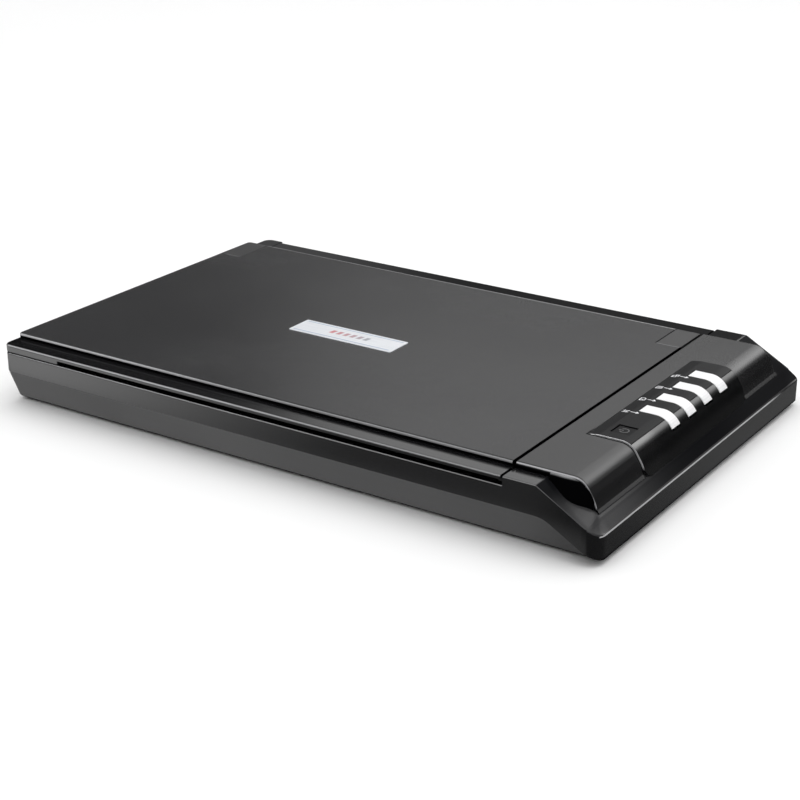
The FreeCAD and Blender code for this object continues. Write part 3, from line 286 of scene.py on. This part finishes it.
def lid_frame_mat():
    """The lid's glossy border, with a painted highlight line along its near edge."""
    m = moulded("lid_border_plastic", **CASE)
    x, y, z = m.axes()
    # painted highlight line along the near edge of the border, stronger to the left
    line = m.mul(m.band(y, -0.12745, -0.12665, 0.00012), m.band(z, 0.0362, 0.0371, 0.00015))
    painted_highlight(m, m.mul(line, m.smooth(x, 0.12, -0.10, 0.25, 0.75)), rgb(0.30, 0.30, 0.31))
    # painted shade on the rear strip, in the shadow gap at the foot of the plate and on the left part of the near
    # border
    rear = m.mul(m.smooth(y, 0.1060, 0.1066), 0.85)
    foot = m.mul(m.band(y, -0.1149, -0.1130, 0.0001), m.smooth(x, -0.19, -0.185), 0.9)
    painted_left_shade = m.mul(m.smooth(y, -0.1222, -0.1200), m.smooth(y, -0.1120, -0.1130), m.smooth(x, 0.030, -0.060), m.smooth(z, 0.0364, 0.0368), 0.75)
    painted_shade(m, m.math("MAXIMUM", foot, painted_left_shade), (0.0062, 0.0062, 0.0067))
    painted_rear_shade(m, rear, x)
    return m


def ramp_case():
    """The upper case: glossy like the lid border, with a matt painted shade on the ramp in front of the panel
    that gives way to a painted reflection towards the near corner."""
    m = moulded("upper_case_plastic", **CASE)
    x, y, z = m.axes()
    # painted highlight along the top edge of the end wall
    rim = m.mul(m.band(z, 0.0158, 0.0165, 0.00015), m.smooth(x, 0.1944, 0.1950), m.smooth(y, 0.105, 0.080))
    painted_highlight(m, m.mul(rim, 0.9), rgb(0.54, 0.54, 0.55))
    # painted highlight along the near top edge of the case, stronger to the left
    deck = m.mul(m.smooth(y, -0.1268, -0.1273), m.band(z, 0.0315, 0.0322, 0.00012), m.smooth(x, 0.1426, 0.1420), m.smooth(x, 0.14, -0.16, 0.18, 1.0))
    painted_highlight(m, m.mul(deck, 0.85), rgb(0.27, 0.27, 0.28), 0.3)
    nx, ny, nz = m.normal()
    # painted shade over the ramp, paler towards the rear, with a painted reflection towards the near end
    on_ramp = m.mul(m.smooth(x, 0.1606, 0.1616), m.smooth(x, 0.19525, 0.1950), m.smooth(y, -0.12745, -0.1268), m.smooth(nz, 0.10, 0.25))
    painted_ramp_reflection = m.mul(m.bell(y, -0.128, 0.052), m.smooth(x, 0.166, 0.192))
    # painted shade in the shadow gap beside the cover's near edge and along the bottom edge of the case
    foot = m.mul(m.band(y, -0.1149, -0.1130, 0.0001), m.band(x, 0.1425, 0.1612, 0.0003), m.smooth(z, 0.034, 0.036))
    # painted shade on the rear strip of the case
    rear = m.mul(m.smooth(y, 0.1085, 0.1095), m.smooth(x, 0.1606, 0.1600))
    under = m.smooth(z, 0.0044, 0.0036)
    painted_shade(m, m.math("MAXIMUM", m.mul(foot, 0.9), under))
    painted_light_and_shade(m, m.mul(on_ramp, m.lerp(painted_ramp_reflection, 0.96, 0.50)), m.mix(painted_ramp_reflection, m.mix(m.smooth(y, 0.0, 0.08), rgb(0.0058, 0.0060, 0.0069), rgb(0.0115, 0.0116, 0.0126)), rgb(0.085, 0.085, 0.087)))
    painted_rear_shade(m, m.mul(rear, 0.85), x)
    return m


def plate_mat():
    """The lid's raised plate: satin top, a painted highlight on the side face along its near edge
    that dies away into a painted shadow gap at its foot."""
    m = moulded("plate_plastic", rgb(0.0385, 0.0385, 0.0395), 0.235, grain=1900, depth=0.08, spread=0.07, spec=0.18)
    x, y, z = m.axes()
    # painted highlight on the side face along the near edge, paler to the left
    side = m.mul(m.smooth(y, -0.11405, -0.1144), m.smooth(z, 0.0385, 0.0388))
    tone = m.mix(m.smooth(x, -0.13, 0.03), rgb(0.50, 0.50, 0.51), rgb(0.27, 0.27, 0.275))
    painted_highlight(m, m.mul(side, 0.95), tone, 0.3)
    # painted highlight along the rear edge, paler to the right
    painted_highlight(m, m.mul(m.smooth(y, 0.1042, 0.1047), 0.85), m.mix(m.smooth(x, -0.15, 0.14), rgb(0.20, 0.20, 0.205), rgb(0.42, 0.42, 0.425)), 0.3)
    # lines round the two hinge caps: a painted highlight at their near side, painted shade beside them
    pale = m.math("MAXIMUM", m.mul(m.band(y, 0.0770, 0.0784, 0.0001), m.smooth(x, 0.1260, 0.1264)),
                  m.mul(m.band(y, 0.0745, 0.0760, 0.0001), m.smooth(x, -0.1792, -0.1796), m.smooth(x, -0.194, -0.188)))
    painted_highlight(m, m.mul(pale, 0.60), rgb(0.17, 0.17, 0.175), 0.3)
    dark = m.mul(m.band(x, 0.1254, 0.1263, 0.0001), m.band(y, 0.0772, 0.1050, 0.0001), 0.75)
    # painted shade: a line under the near edge, the shadow gap at the foot of the side, and the seam with the panel
    # cover
    crease = m.mul(m.band(y, -0.1138, -0.1133, 0.0001), m.smooth(x, -0.09, 0.02))
    gap = m.mul(m.smooth(y, -0.112, -0.1130), m.smooth(z, 0.0387, 0.0384))
    seam = m.smooth(x, 0.14085, 0.14100)
    painted_shade(m, m.math("MAXIMUM", m.math("MAXIMUM", m.mul(crease, 0.6), dark), m.math("MAXIMUM", gap, seam)))
    return m


def cover_mat():
    m = moulded("cover_plastic", rgb(0.0068, 0.0068, 0.0073), 0.28, grain=1900, depth=0.10, spread=0.10)
    x, y, z = m.axes()
    nx, ny, nz = m.normal()
    # painted highlight along the rounded near edge
    edge = m.mul(m.smooth(y, -0.11375, -0.1142), m.smooth(ny, -0.30, -0.45), m.smooth(ny, -0.97, -0.90), m.smooth(z, 0.025, 0.027),
                 m.smooth(m.add(nx, nz), 0.12, 0.34))
    painted_highlight(m, m.mul(edge, 0.9), rgb(0.30, 0.30, 0.31), 0.3)
    # painted shade: the flare, the underside of the near edge and the edge along the seam are painted black
    flare = m.mul(m.smooth(y, -0.1143, -0.1147), m.smooth(ny, -0.35, -0.75), m.smooth(z, 0.0395, 0.0380))
    gap = m.mul(m.smooth(y, -0.1128, -0.1136), m.smooth(z, 0.0379, 0.0377), m.smooth(x, 0.164, 0.1625))
    seam = m.smooth(x, 0.14325, 0.14310)
    # the shadow line round the foot of the pod, and one inside the near edge
    side = m.mul(m.band(y, -0.0649, -0.0636, 0.0002), m.smooth(x, 0.1550, 0.1556), 0.85)
    back = m.mul(m.band(x, 0.1552, 0.1562, 0.0001), m.smooth(y, -0.052, -0.062), m.smooth(y, -0.0649, -0.0645), 0.75)
    inner = m.mul(m.band(y, -0.1139, -0.1130, 0.0002), m.smooth(nz, 0.80, 0.95), 0.45)
    painted_shade(m, m.math("MAXIMUM", m.math("MAXIMUM", side, m.math("MAXIMUM", back, inner)), m.math("MAXIMUM", flare, m.math("MAXIMUM", gap, seam))))
    return m


def tub_mat():
    """The lower case: coarser than the rest, with painted shade round the turn of its underside."""
    m = moulded("tub_plastic", rgb(0.030, 0.030, 0.031), 0.50, grain=2000, depth=0.22, spread=0.10)
    x, y, z = m.axes()
    # painted shade round the turn of the underside
    painted_shade(m, m.smooth(z, 0.0030, 0.0023))
    return m


tub_plastic = tub_mat()
cap_plastic = moulded("cap_plastic", rgb(0.018, 0.018, 0.0185), 0.40, grain=1900, depth=0.16, spread=0.10)


def pod_mat():
    m = moulded("pod_plastic", rgb(0.0022, 0.0023, 0.0026), 0.22, grain=3200, depth=0.02, spread=0.06, rough_var=0.02, spec=0.85)
    x, y, z = m.axes()
    nx, ny, nz = m.normal()
    # painted highlight along the near edge
    edge = m.mul(m.smooth(y, -0.0634, -0.0637), m.smooth(ny, -0.20, -0.35), m.smooth(z, 0.026, 0.029))
    painted_highlight(m, m.mul(edge, 0.9), rgb(0.36, 0.36, 0.37), 0.25)
    # painted shade over the pod beyond its near end
    painted_shade(m, m.mul(m.smooth(y, -0.050, -0.036), 0.34), (0.0015, 0.0015, 0.0018))
    return m


film_plastic = moulded("film_plastic", rgb(0.0040, 0.0040, 0.0045), 0.40, grain=3200, depth=0.05, spread=0.05, spec=0.13)
black_plastic = moulded("black_plastic", rgb(0.015, 0.015, 0.016), 0.5, grain=1500, depth=0.15)
acetal = moulded("acetal", rgb(0.72, 0.70, 0.64), 0.42, grain=900, depth=0.06, spread=0.03)
rubber = moulded("rubber", rgb(0.018, 0.018, 0.018), 0.75, grain=900, depth=0.3, spread=0.15, spec=0.3)
chip_plastic = moulded("chip_plastic", rgb(0.02, 0.02, 0.021), 0.6, grain=1800, depth=0.15)
tape = moulded("tape", rgb(0.012, 0.012, 0.012), 0.6, grain=800, depth=0.1)


def button_white():
    """White caps with a regular field of tiny raised dots."""
    m = Mat("button_white")
    x, y, z = m.axes()
    pitch = 0.0011
    fx = m.math("SUBTRACT", m.math("FRACT", m.math("DIVIDE", x, pitch)), 0.5)
    fy = m.math("SUBTRACT", m.math("FRACT", m.math("DIVIDE", y, pitch)), 0.5)
    d = m.math("SQRT", m.math("ADD", m.math("MULTIPLY", fx, fx), m.math("MULTIPLY", fy, fy)))
    dot = m.remap(d, 0.18, 0.34, 1.0, 0.0)
    fine = m.noise(1800, 2.0)
    m.set(color=m.mix(dot, rgb(0.86, 0.86, 0.87), rgb(0.985, 0.985, 0.985)), spec=0.5)
    m.set(rough=m.remap(fine, 0.3, 0.7, 0.36, 0.46), sub=0.05)
    m.b.inputs["Subsurface Radius"].default_value = (0.001, 0.001, 0.001)
    m.bump(m.math("ADD", m.math("MULTIPLY", dot, 1.0), m.math("MULTIPLY", fine, 0.2)), 0.35, 0.00015)
    return m


def power_cap():
    return moulded("power_cap", rgb(0.0030, 0.0030, 0.0034), 0.45, grain=2600, depth=0.03, spec=0.12)


def glass():
    m = Mat("bed_glass")
    smudge = m.noise(14.0, 4.0, 0.6)
    m.set(color=rgb(0.93, 0.975, 0.955), trans=1.0, ior=1.50, rough=m.remap(smudge, 0.45, 0.8, 0.0, 0.06))
    return m


def lens():
    m = Mat("rod_lens")
    x, y, z = m.axes()
    row = m.math("SINE", m.math("MULTIPLY", y, 2 * math.pi / 0.0008))
    m.set(color=m.mix(m.remap(row, -1, 1, 0, 1), rgb(0.10, 0.14, 0.13), rgb(0.35, 0.42, 0.40)), rough=0.12,
          coat=1.0)
    m.bump(row, 0.3, 0.0001)
    return m


def acrylic():
    m = Mat("light_guide")
    n = m.noise(40, 2)
    m.set(color=rgb(0.80, 0.86, 0.88), rough=m.remap(n, 0.3, 0.7, 0.06, 0.14), trans=0.6, ior=1.49)
    return m


def steel(name, tint, rough, axis=0, brushed=True):
    m = Mat(name)
    sc = [2600.0, 2600.0, 2600.0]
    sc[axis] = 30.0
    lines = m.noise(1.0, 4.0, 0.65, vec=m.scaled(sc))
    blotch = m.noise(60.0, 3.0)
    m.set(color=m.mix(m.remap(blotch, 0.3, 0.7, 0, 1), tuple(c * 0.9 for c in tint[:3]) + (1,), tint), metal=1.0)
    m.set(rough=m.math("ADD", m.remap(lines, 0.3, 0.7, rough - 0.06, rough + 0.08), m.remap(blotch, 0.3, 0.7, -0.03, 0.05)))
    m.bump(lines, 0.12, 0.00005)
    return m


rod_steel = steel("rod_steel", rgb(0.70, 0.70, 0.71), 0.16, 0)
pin_steel = steel("pin_steel", rgb(0.66, 0.66, 0.67), 0.2, 0)
motor_steel = steel("motor_steel", rgb(0.62, 0.62, 0.63), 0.3, 2)
screw_zinc = steel("screw_zinc", rgb(0.62, 0.62, 0.64), 0.28, 2)
port_nickel = steel("port_nickel", rgb(0.74, 0.73, 0.71), 0.22, 1)
spring_steel = steel("spring_steel", rgb(0.6, 0.6, 0.61), 0.25, 2)
brass = steel("sintered_brass", rgb(0.72, 0.53, 0.26), 0.34, 1)
name_silver = None


def board(name):
    """Green solder mask with faint copper tracks under it."""
    m = Mat(name)
    x, y, z = m.axes()
    sx = m.math("FRACT", m.math("DIVIDE", x, 0.0035))
    sy = m.math("FRACT", m.math("DIVIDE", y, 0.0035))
    wob = m.noise(120.0, 1.0)
    tx = m.math("LESS_THAN", m.math("ABSOLUTE", m.math("SUBTRACT", sx, m.remap(wob, 0.3, 0.7, 0.2, 0.8))), 0.09)
    ty = m.math("LESS_THAN", m.math("ABSOLUTE", m.math("SUBTRACT", sy, m.remap(wob, 0.3, 0.7, 0.8, 0.2))), 0.07)
    track = m.math("MAXIMUM", tx, ty)
    m.set(color=m.mix(track, rgb(0.008, 0.085, 0.035), rgb(0.02, 0.17, 0.07)), rough=0.28, spec=0.5)
    m.bump(track, 0.2, 0.00006)
    return m


pcb = board("solder_mask")


def foam_mat():
    m = Mat("foam_white")
    cells = m.voronoi(900.0)
    n = m.noise(30, 3)
    m.set(color=m.mix(m.remap(n, 0.3, 0.7, 0, 1), rgb(0.70, 0.70, 0.68), rgb(0.80, 0.80, 0.78)), rough=0.85)
    m.bump(cells, 0.5, 0.0004)
    return m


def sheet_mat(name, base, rough):
    m = Mat(name)
    n = m.noise(25, 4)
    f = m.noise(2500, 2)
    m.set(color=m.mix(m.remap(n, 0.3, 0.7, 0, 1), tuple(c * 0.97 for c in base[:3]) + (1,), base),
          rough=m.remap(f, 0.3, 0.7, rough - 0.04, rough + 0.04))
    m.bump(f, 0.05, 0.00005)
    return m


def ribbon_mat():
    m = Mat("flat_cable")
    x, y, z = m.axes()
    row = m.math("FRACT", m.math("DIVIDE", y, 0.001))
    cond = m.math("LESS_THAN", m.math("ABSOLUTE", m.math("SUBTRACT", row, 0.5)), 0.3)
    m.set(color=m.mix(cond, rgb(0.80, 0.80, 0.78), rgb(0.58, 0.59, 0.60)), rough=0.3, coat=0.6)
    m.bump(cond, 0.25, 0.00008)
    return m


def name_plate_mat():
    """Pale silver plate: fine brushing, two thin blue-grey rules and a plain
    bar device that fades from warm to cool. No lettering."""
    m = Mat("name_plate")
    lo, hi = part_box("name_plate")
    x, y, z = m.axes()
    u = m.remap(x, lo.x, hi.x, 0.0, 1.0)
    v = m.remap(y, lo.y, hi.y, 0.0, 1.0)
    brush = m.noise(1.0, 3.0, 0.6, vec=m.scaled((60.0, 5200.0, 60.0)))

    def band(t, a, b, soft=0.004):
        up = m.remap(t, a - soft, a + soft, 0.0, 1.0)
        dn = m.remap(t, b - soft, b + soft, 1.0, 0.0)
        return m.math("MULTIPLY", up, dn)
    base = m.mix(m.remap(brush, 0.3, 0.7, 0, 1), srgb("d3d6db"), srgb("e9ebee"))
    rule = m.math("MAXIMUM", band(v, 0.085, 0.135, 0.012), band(v, 0.865, 0.915, 0.012))
    rule = m.math("MULTIPLY", rule, band(u, 0.03, 0.97))
    col = m.mix(m.math("MULTIPLY", rule, 0.75), base, srgb("8fa3bd"))
    # five slanted bars, warm to cool grey
    slant = m.math("ADD", u, m.math("MULTIPLY", v, -0.05))
    fade = m.remap(u, 0.30, 0.70, 0.0, 1.0)
    ink = m.mix(fade, srgb("c8555a"), srgb("8d949c"))
    bars = None
    for i in range(6):
        a = 0.305 + i * 0.066
        b = band(slant, a, a + 0.040, 0.004)
        bars = b if bars is None else m.math("MAXIMUM", bars, b)
    bars = m.math("MULTIPLY", bars, band(v, 0.40, 0.64, 0.02))
    col = m.mix(m.math("MULTIPLY", bars, 0.85), col, ink)
    m.set(color=col, metal=0.15, rough=m.remap(brush, 0.3, 0.7, 0.28, 0.42))
    m.bump(brush, 0.06, 0.00004)
    return m


def print_ink(name, lo, hi):
    m = Mat(name)
    n = m.noise(2600, 2)
    m.set(color=m.mix(m.remap(n, 0.3, 0.7, 0, 1), rgb(lo, lo, lo * 1.03), rgb(hi, hi, hi * 1.03)), rough=0.5)
    m.bump(n, 0.05, 0.00003)
    return m


MATERIALS = {
    "lower_case": tub_plastic, "upper_case": ramp_case(), "panel_cover": cover_mat(),
    "button_pod": pod_mat(), "control_label": film_plastic, "power_button": power_cap(),
    "button_board": pcb, "tact_switches": chip_plastic, "button_board_screws": screw_zinc,
    "scan_glass": glass(), "glass_seal": tape, "calibration_strip": sheet_mat("calibration_white", rgb(0.85, 0.85, 0.84), 0.5),
    "guide_rod": rod_steel, "rod_clamps": black_plastic, "rod_clamp_screws": screw_zinc, "drive_rack": acetal,
    "main_board": pcb, "board_chips": chip_plastic, "board_screws": screw_zinc, "usb_port": port_nickel,
    "power_jack": black_plastic, "home_sensor": black_plastic, "ribbon_cable": ribbon_mat(), "rubber_feet": rubber,
    "case_screws": screw_zinc, "carriage_holder": black_plastic, "rod_bushings": brass, "gear_post": pin_steel,
    "cis_housing": moulded("cis_black", rgb(0.012, 0.012, 0.012), 0.4, grain=1500, depth=0.12),
    "rod_lens": lens(), "light_guide": acrylic(), "sensor_board": pcb, "glide_pads": acetal,
    "cis_springs": spring_steel, "stepper_motor": motor_steel, "motor_screws": screw_zinc, "drive_gear": acetal,
    "motor_pinion": brass, "motor_shaft": pin_steel, "lid_frame": lid_frame_mat(), "lid_top_plate": plate_mat(),
    "hinge_cap_left": cap_plastic, "hinge_cap_right": cap_plastic, "lid_screws": screw_zinc, "hinge_pins": pin_steel,
    "name_plate": name_plate_mat(), "backing_foam": foam_mat(),
    "white_sheet": sheet_mat("backing_white", rgb(0.86, 0.86, 0.85), 0.55), "lid_bumpers": rubber,
}
white = button_white()
for b in ("scan_button", "copy_button", "document_button", "mail_button"):
    MATERIALS[b] = white

for name, obj in nodes.items():
    mat = MATERIALS[name].m
    obj.data.materials.clear()
    obj.data.materials.append(mat)
    obj.data.polygons.foreach_set("material_index", [0] * len(obj.data.polygons))
    for p in obj.data.polygons:
        p.use_smooth = True
    obj.data.set_sharp_from_angle(angle=math.radians(32))


# ------------------------------------------------------- small made pieces
def mesh_piece(name, verts, faces, mat, body, slot=None, smooth=False):
    me = bpy.data.meshes.new(name)
    me.from_pydata([tuple(v) for v in verts], [], faces)
    me.validate()
    me.update()
    o = bpy.data.objects.new(name, me)
    scene.collection.objects.link(o)
    me.materials.append(mat.m)
    for p in me.polygons:
        p.use_smooth = smooth
    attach(o, body)
    return o


POD_RISE = 0.0009 + 0.00015


def label_z(x):
    """Height of the overlay's surface above a point of the panel."""
    x0 = 0.1566
    top = 0.040 + POD_RISE
    if x < x0 + 0.006:
        return top - 0.00077 * (1.0 - max(0.0, (x - x0) / 0.006))
    return top


def stroke(points, width, z_of, closed=False, thick=0.00003):
    """A flat printed line: quads along a path, laid on the overlay."""
    pts = [Vector((p[0], p[1])) for p in points]
    n = len(pts)
    verts, faces = [], []
    for i, p in enumerate(pts):
        if closed:
            a, b = pts[(i - 1) % n], pts[(i + 1) % n]
        else:
            a, b = pts[max(i - 1, 0)], pts[min(i + 1, n - 1)]
        d = (b - a).normalized()
        nrm = Vector((-d.y, d.x))
        l1 = (p - a).normalized() if i or closed else d
        l2 = (b - p).normalized() if i < n - 1 or closed else d
        cosang = max(0.35, math.sqrt(max(0.0, (1 + l1.dot(l2)) / 2)))
        w = width / 2 / cosang
        for s in (-1, 1):
            q = p + nrm * (w * s)
            verts.append((q.x, q.y, z_of(q.x) + thick))
    last = n if closed else n - 1
    for i in range(last):
        j = (i + 1) % n
        faces.append((2 * i, 2 * i + 1, 2 * j + 1, 2 * j)[::-1])
    return verts, faces


def join(parts):
    verts, faces = [], []
    for v, f in parts:
        k = len(verts)
        verts += v
        faces += [tuple(i + k for i in t) for t in f]
    return verts, faces


def solid_print(name, parts, mat, body, thick=0.00004):
    """Closed thin solids from flat printed strokes: top, bottom and rim."""
    verts, faces = join(parts)
    bm = bmesh.new()
    vs = [bm.verts.new(v) for v in verts]
    for f in faces:
        try:
            bm.faces.new([vs[i] for i in f])
        except ValueError:
            pass
    bmesh.ops.recalc_face_normals(bm, faces=bm.faces)
    up = sum(f.normal.z for f in bm.faces)
    if up < 0:
        bmesh.ops.reverse_faces(bm, faces=bm.faces)
    res = bmesh.ops.extrude_face_region(bm, geom=list(bm.faces))
    moved = [g for g in res["geom"] if isinstance(g, bmesh.types.BMVert)]
    bmesh.ops.translate(bm, verts=moved, vec=(0, 0, thick))
    bmesh.ops.recalc_face_normals(bm, faces=bm.faces)
    me = bpy.data.meshes.new(name)
    bm.to_mesh(me)
    bm.free()
    o = bpy.data.objects.new(name, me)
    scene.collection.objects.link(o)
    me.materials.append(mat.m)
    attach(o, body)
    return o


ink = print_ink("overlay_ink", 0.84, 0.94)
symbol_ink = print_ink("symbol_ink", 0.12, 0.16)
BY = [-0.0196 + 0.02035 * i for i in range(4)]


# The pictograms stand between the buttons and read from the near side: u runs
# along +X, v along +Y. Each is a small sign and an arrow towards its button.
def row(cy, shapes, w=0.00050, size=0.0037):
    cx, oy = 0.15925, cy - 0.0080
    out = []
    for pts, closed in shapes:
        out.append(stroke([(cx + u * size, oy + v * size) for u, v in pts], w, lambda x: label_z(x), closed))
    arrow = [([(0.0, 0.0), (0.0045, 0.0)], False), ([(0.0031, 0.0011), (0.0045, 0.0), (0.0031, -0.0011)], False)]
    for pts, closed in arrow:
        out.append(stroke([(cx + 0.0028 + u, oy + v) for u, v in pts], w, lambda x: label_z(x), closed))
    return out


icons = []
# a hand-picked task: two slider tracks with knobs
icons += row(BY[0], [([(-0.55, 0.26), (0.55, 0.26)], False), ([(-0.55, -0.26), (0.55, -0.26)], False),
                     ([(-0.25, 0.05), (-0.25, 0.47)], False), ([(0.22, -0.47), (0.22, -0.05)], False)])
# document
icons += row(BY[1], [([(-0.40, -0.46), (0.40, -0.46), (0.40, 0.20), (0.14, 0.46), (-0.40, 0.46)], True),
                     ([(-0.16, -0.16), (0.18, -0.16)], False)])
# scan: a page under a beam
icons += row(BY[2], [([(-0.50, -0.40), (0.50, -0.40), (0.50, 0.02), (-0.50, 0.02)], True),
                     ([(-0.50, 0.40), (0.50, 0.40)], False)])
# copy: two sheets
icons += row(BY[3], [([(-0.46, -0.46), (0.14, -0.46), (0.14, 0.20), (-0.46, 0.20)], True),
                     ([(-0.16, 0.46), (0.46, 0.46), (0.46, -0.22)], False)])
solid_print("panel_pictograms", icons, ink, "base")

# Power symbol on its button, whose top is level.
plo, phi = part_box("power_button")
pcx, pcy = (plo.x + phi.x) / 2, (plo.y + phi.y) / 2
ring = [(pcx - 0.0024 * math.cos(math.radians(a)), pcy + 0.0024 * math.sin(math.radians(a))) for a in
        [38 + (322 - 38) * i / 30 for i in range(31)]]
sym = [stroke(ring, 0.00042, lambda x: phi.z), stroke([(pcx - 0.0031, pcy), (pcx - 0.0004, pcy)], 0.00042, lambda x: phi.z)]
solid_print("power_symbol", sym, symbol_ink, "power_button")

# Flat flexible cable between the main board and the carriage: one thin
# strip in soft pleats.
RIB_A, RIB_B, RIB_N = 0.1505, 0.1840, 13


def ribbon_piece():
    n, half = RIB_N * 14, 0.00014
    pts = []
    for i in range(n + 1):
        t = i / n
        ph = math.pi * RIB_N * t
        x = RIB_A + (RIB_B - RIB_A) * t - 0.00045 * math.sin(2 * ph)
        pts.append(Vector((x, 0.0077 + 0.0034 * math.cos(ph))))
    bm = bmesh.new()
    rows = []
    for i, p in enumerate(pts):
        d = (pts[min(i + 1, n)] - pts[max(i - 1, 0)]).normalized()
        q = Vector((-d.y, d.x)) * half
        rows.append([bm.verts.new((a.x, y, a.y)) for a, y in
                     ((p + q, 0.0392), (p + q, 0.0518), (p - q, 0.0518), (p - q, 0.0392))])
    for a, b in zip(rows, rows[1:]):
        for k in range(4):
            j = (k + 1) % 4
            bm.faces.new((a[k], a[j], b[j], b[k]))
    bm.faces.new(rows[0][::-1])
    bm.faces.new(rows[-1])
    bmesh.ops.recalc_face_normals(bm, faces=bm.faces)
    me = bpy.data.meshes.new("flat_cable_strip")
    bm.to_mesh(me)
    bm.free()
    for f in me.polygons:
        f.use_smooth = True
    me.set_sharp_from_angle(angle=math.radians(50))
    o = bpy.data.objects.new("flat_cable_strip", me)
    scene.collection.objects.link(o)
    me.materials.append(ribbon_mat().m)
    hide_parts("ribbon_cable")
    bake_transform(o)
    return o


ribbon_piece()

# ------------------------------------------------------------ floor, lights
def light_path(k):
    return k.new("ShaderNodeLightPath").outputs


def stage_mat():
    """White table top. In the object's reflections it glows as a painted reflection: bright towards the front left,
    dimmer towards the right and the front right, as if dark cards lay there."""
    m = Mat("stage_white")
    n = m.noise(3.0, 2.0)
    m.set(color=m.mix(n, rgb(0.91, 0.91, 0.91), rgb(0.93, 0.93, 0.93)), rough=0.9, spec=0.1)
    x, y, z = m.axes()
    front = m.add(m.smooth(x, -0.24, 0.03, 2.6, 0.28), m.smooth(x, 0.12, 0.17, 0.0, -0.24))
    beside = m.lerp(m.smooth(x, 0.14, 0.18), 1.0, 0.55)
    v = m.lerp(m.smooth(y, -0.172, -0.146), front, beside)
    v = m.lerp(m.smooth(x, 0.188, 0.197), v, m.smooth(y, -0.12, 0.05, 0.10, 0.26))
    far = m.smooth(m.math("MAXIMUM", m.math("ABSOLUTE", x), m.math("ABSOLUTE", y)), 0.5, 1.5)
    v = m.lerp(far, v, m.smooth(x, 0.0, 0.6, 0.30, 0.04))
    v = m.lerp(m.smooth(x, 0.235, 0.30), v, 0.07)
    glow = m.new("ShaderNodeEmission")
    m.put(glow.inputs["Strength"], v)
    mixer = m.new("ShaderNodeMixShader")
    m.link(light_path(m)["Is Glossy Ray"], mixer.inputs[0])
    m.link(m.b.outputs[0], mixer.inputs[1])
    m.link(glow.outputs[0], mixer.inputs[2])
    m.link(mixer.outputs[0], m.out.inputs["Surface"])
    return m


me = bpy.data.meshes.new("floor")
R = 9.0
me.from_pydata([(-R, -R, 0), (R, -R, 0), (R, R, 0), (-R, R, 0)], [], [(0, 1, 2, 3)])
floor = bpy.data.objects.new("floor", me)
scene.collection.objects.link(floor)
floor.data.materials.append(stage_mat().m)


def area(name, loc, target, size, energy, color=(1, 1, 1), size_y=None, spread=180):
    L = bpy.data.lights.new(name, "AREA")
    L.energy = energy
    L.color = color
    if size_y:
        L.shape = "RECTANGLE"
        L.size_y = size_y
    L.size = size
    L.spread = math.radians(spread)
    o = bpy.data.objects.new(name, L)
    scene.collection.objects.link(o)
    o.location = loc
    d = Vector(target) - Vector(loc)
    o.rotation_euler = d.to_track_quat("-Z", "Y").to_euler()
    return o


top_box = area("top_box", (0.15, 0.25, 1.9), (0, 0, 0.03), 1.6, 9, size_y=1.6)
top_box.visible_glossy = False

# Soft white all round for colour, weaker near the horizon; the reflections see
# soft boxes: a broad one behind with a clean left edge, brightest a little to
# the right, one over the near left for the edges, and a big one overhead.
world = bpy.data.worlds.new("studio")
scene.world = world
world.use_nodes = True
world.cycles.sampling_method = "NONE"
w = Kit(world.node_tree, "Generated")
dx, dy, dz = w.axes()
az = w.mul(w.math("ARCTAN2", dx, dy), 180.0 / math.pi)
el = w.mul(w.math("ARCSINE", dz), 180.0 / math.pi)
edge_l = w.smooth(az, -39.4, -35.0)
broad = w.mul(edge_l, w.smooth(az, 42.0, 26.0), w.smooth(el, 18.0, 24.8), w.smooth(el, 52.0, 40.0), 2.0)
peak = w.mul(w.bell(az, 16.0, 20.0), w.bell(el, 29.0, 8.5), 3.4)
tail = w.mul(w.smooth(az, -50.0, -36.0), w.smooth(az, 40.0, 30.0), w.smooth(el, 12.0, 22.0), w.smooth(el, 50.0, 40.0), 0.03)
over = w.mul(w.smooth(el, 46.0, 58.0), 3.4)
near_left = w.mul(w.band(az, -176.0, -100.0, 8.0), w.band(el, 24.0, 58.0, 5.0), 6.0)
lp = light_path(w)
glossy = w.add(broad, peak, tail, over, near_left, 0.02)
soft = w.lerp(w.smooth(el, 4.0, 50.0), 0.18, 1.52)
level = w.lerp(lp["Is Glossy Ray"], w.lerp(lp["Is Camera Ray"], soft, 1.05), glossy)
bg = w.new("ShaderNodeBackground")
w.link(level, bg.inputs["Strength"])
wout = w.new("ShaderNodeOutputWorld")
w.link(bg.outputs[0], wout.inputs[0])

# ------------------------------------------------------------------- camera
cam = bpy.data.cameras.new("camera")
cam.lens = 78.89
cam.sensor_width = 36.0
cam.clip_end = 50.0
cam_obj = bpy.data.objects.new("camera", cam)
scene.collection.objects.link(cam_obj)
cam_obj.location = (0.52998, -0.80356, 0.39230)
cam_obj.rotation_euler = (Vector((0.05086, -0.07879, 0.0400)) - cam_obj.location).to_track_quat("-Z", "Y").to_euler()
scene.camera = cam_obj
scene.view_settings.view_transform = "Standard"
scene.view_settings.look = "None"
scene.cycles.use_denoising = True
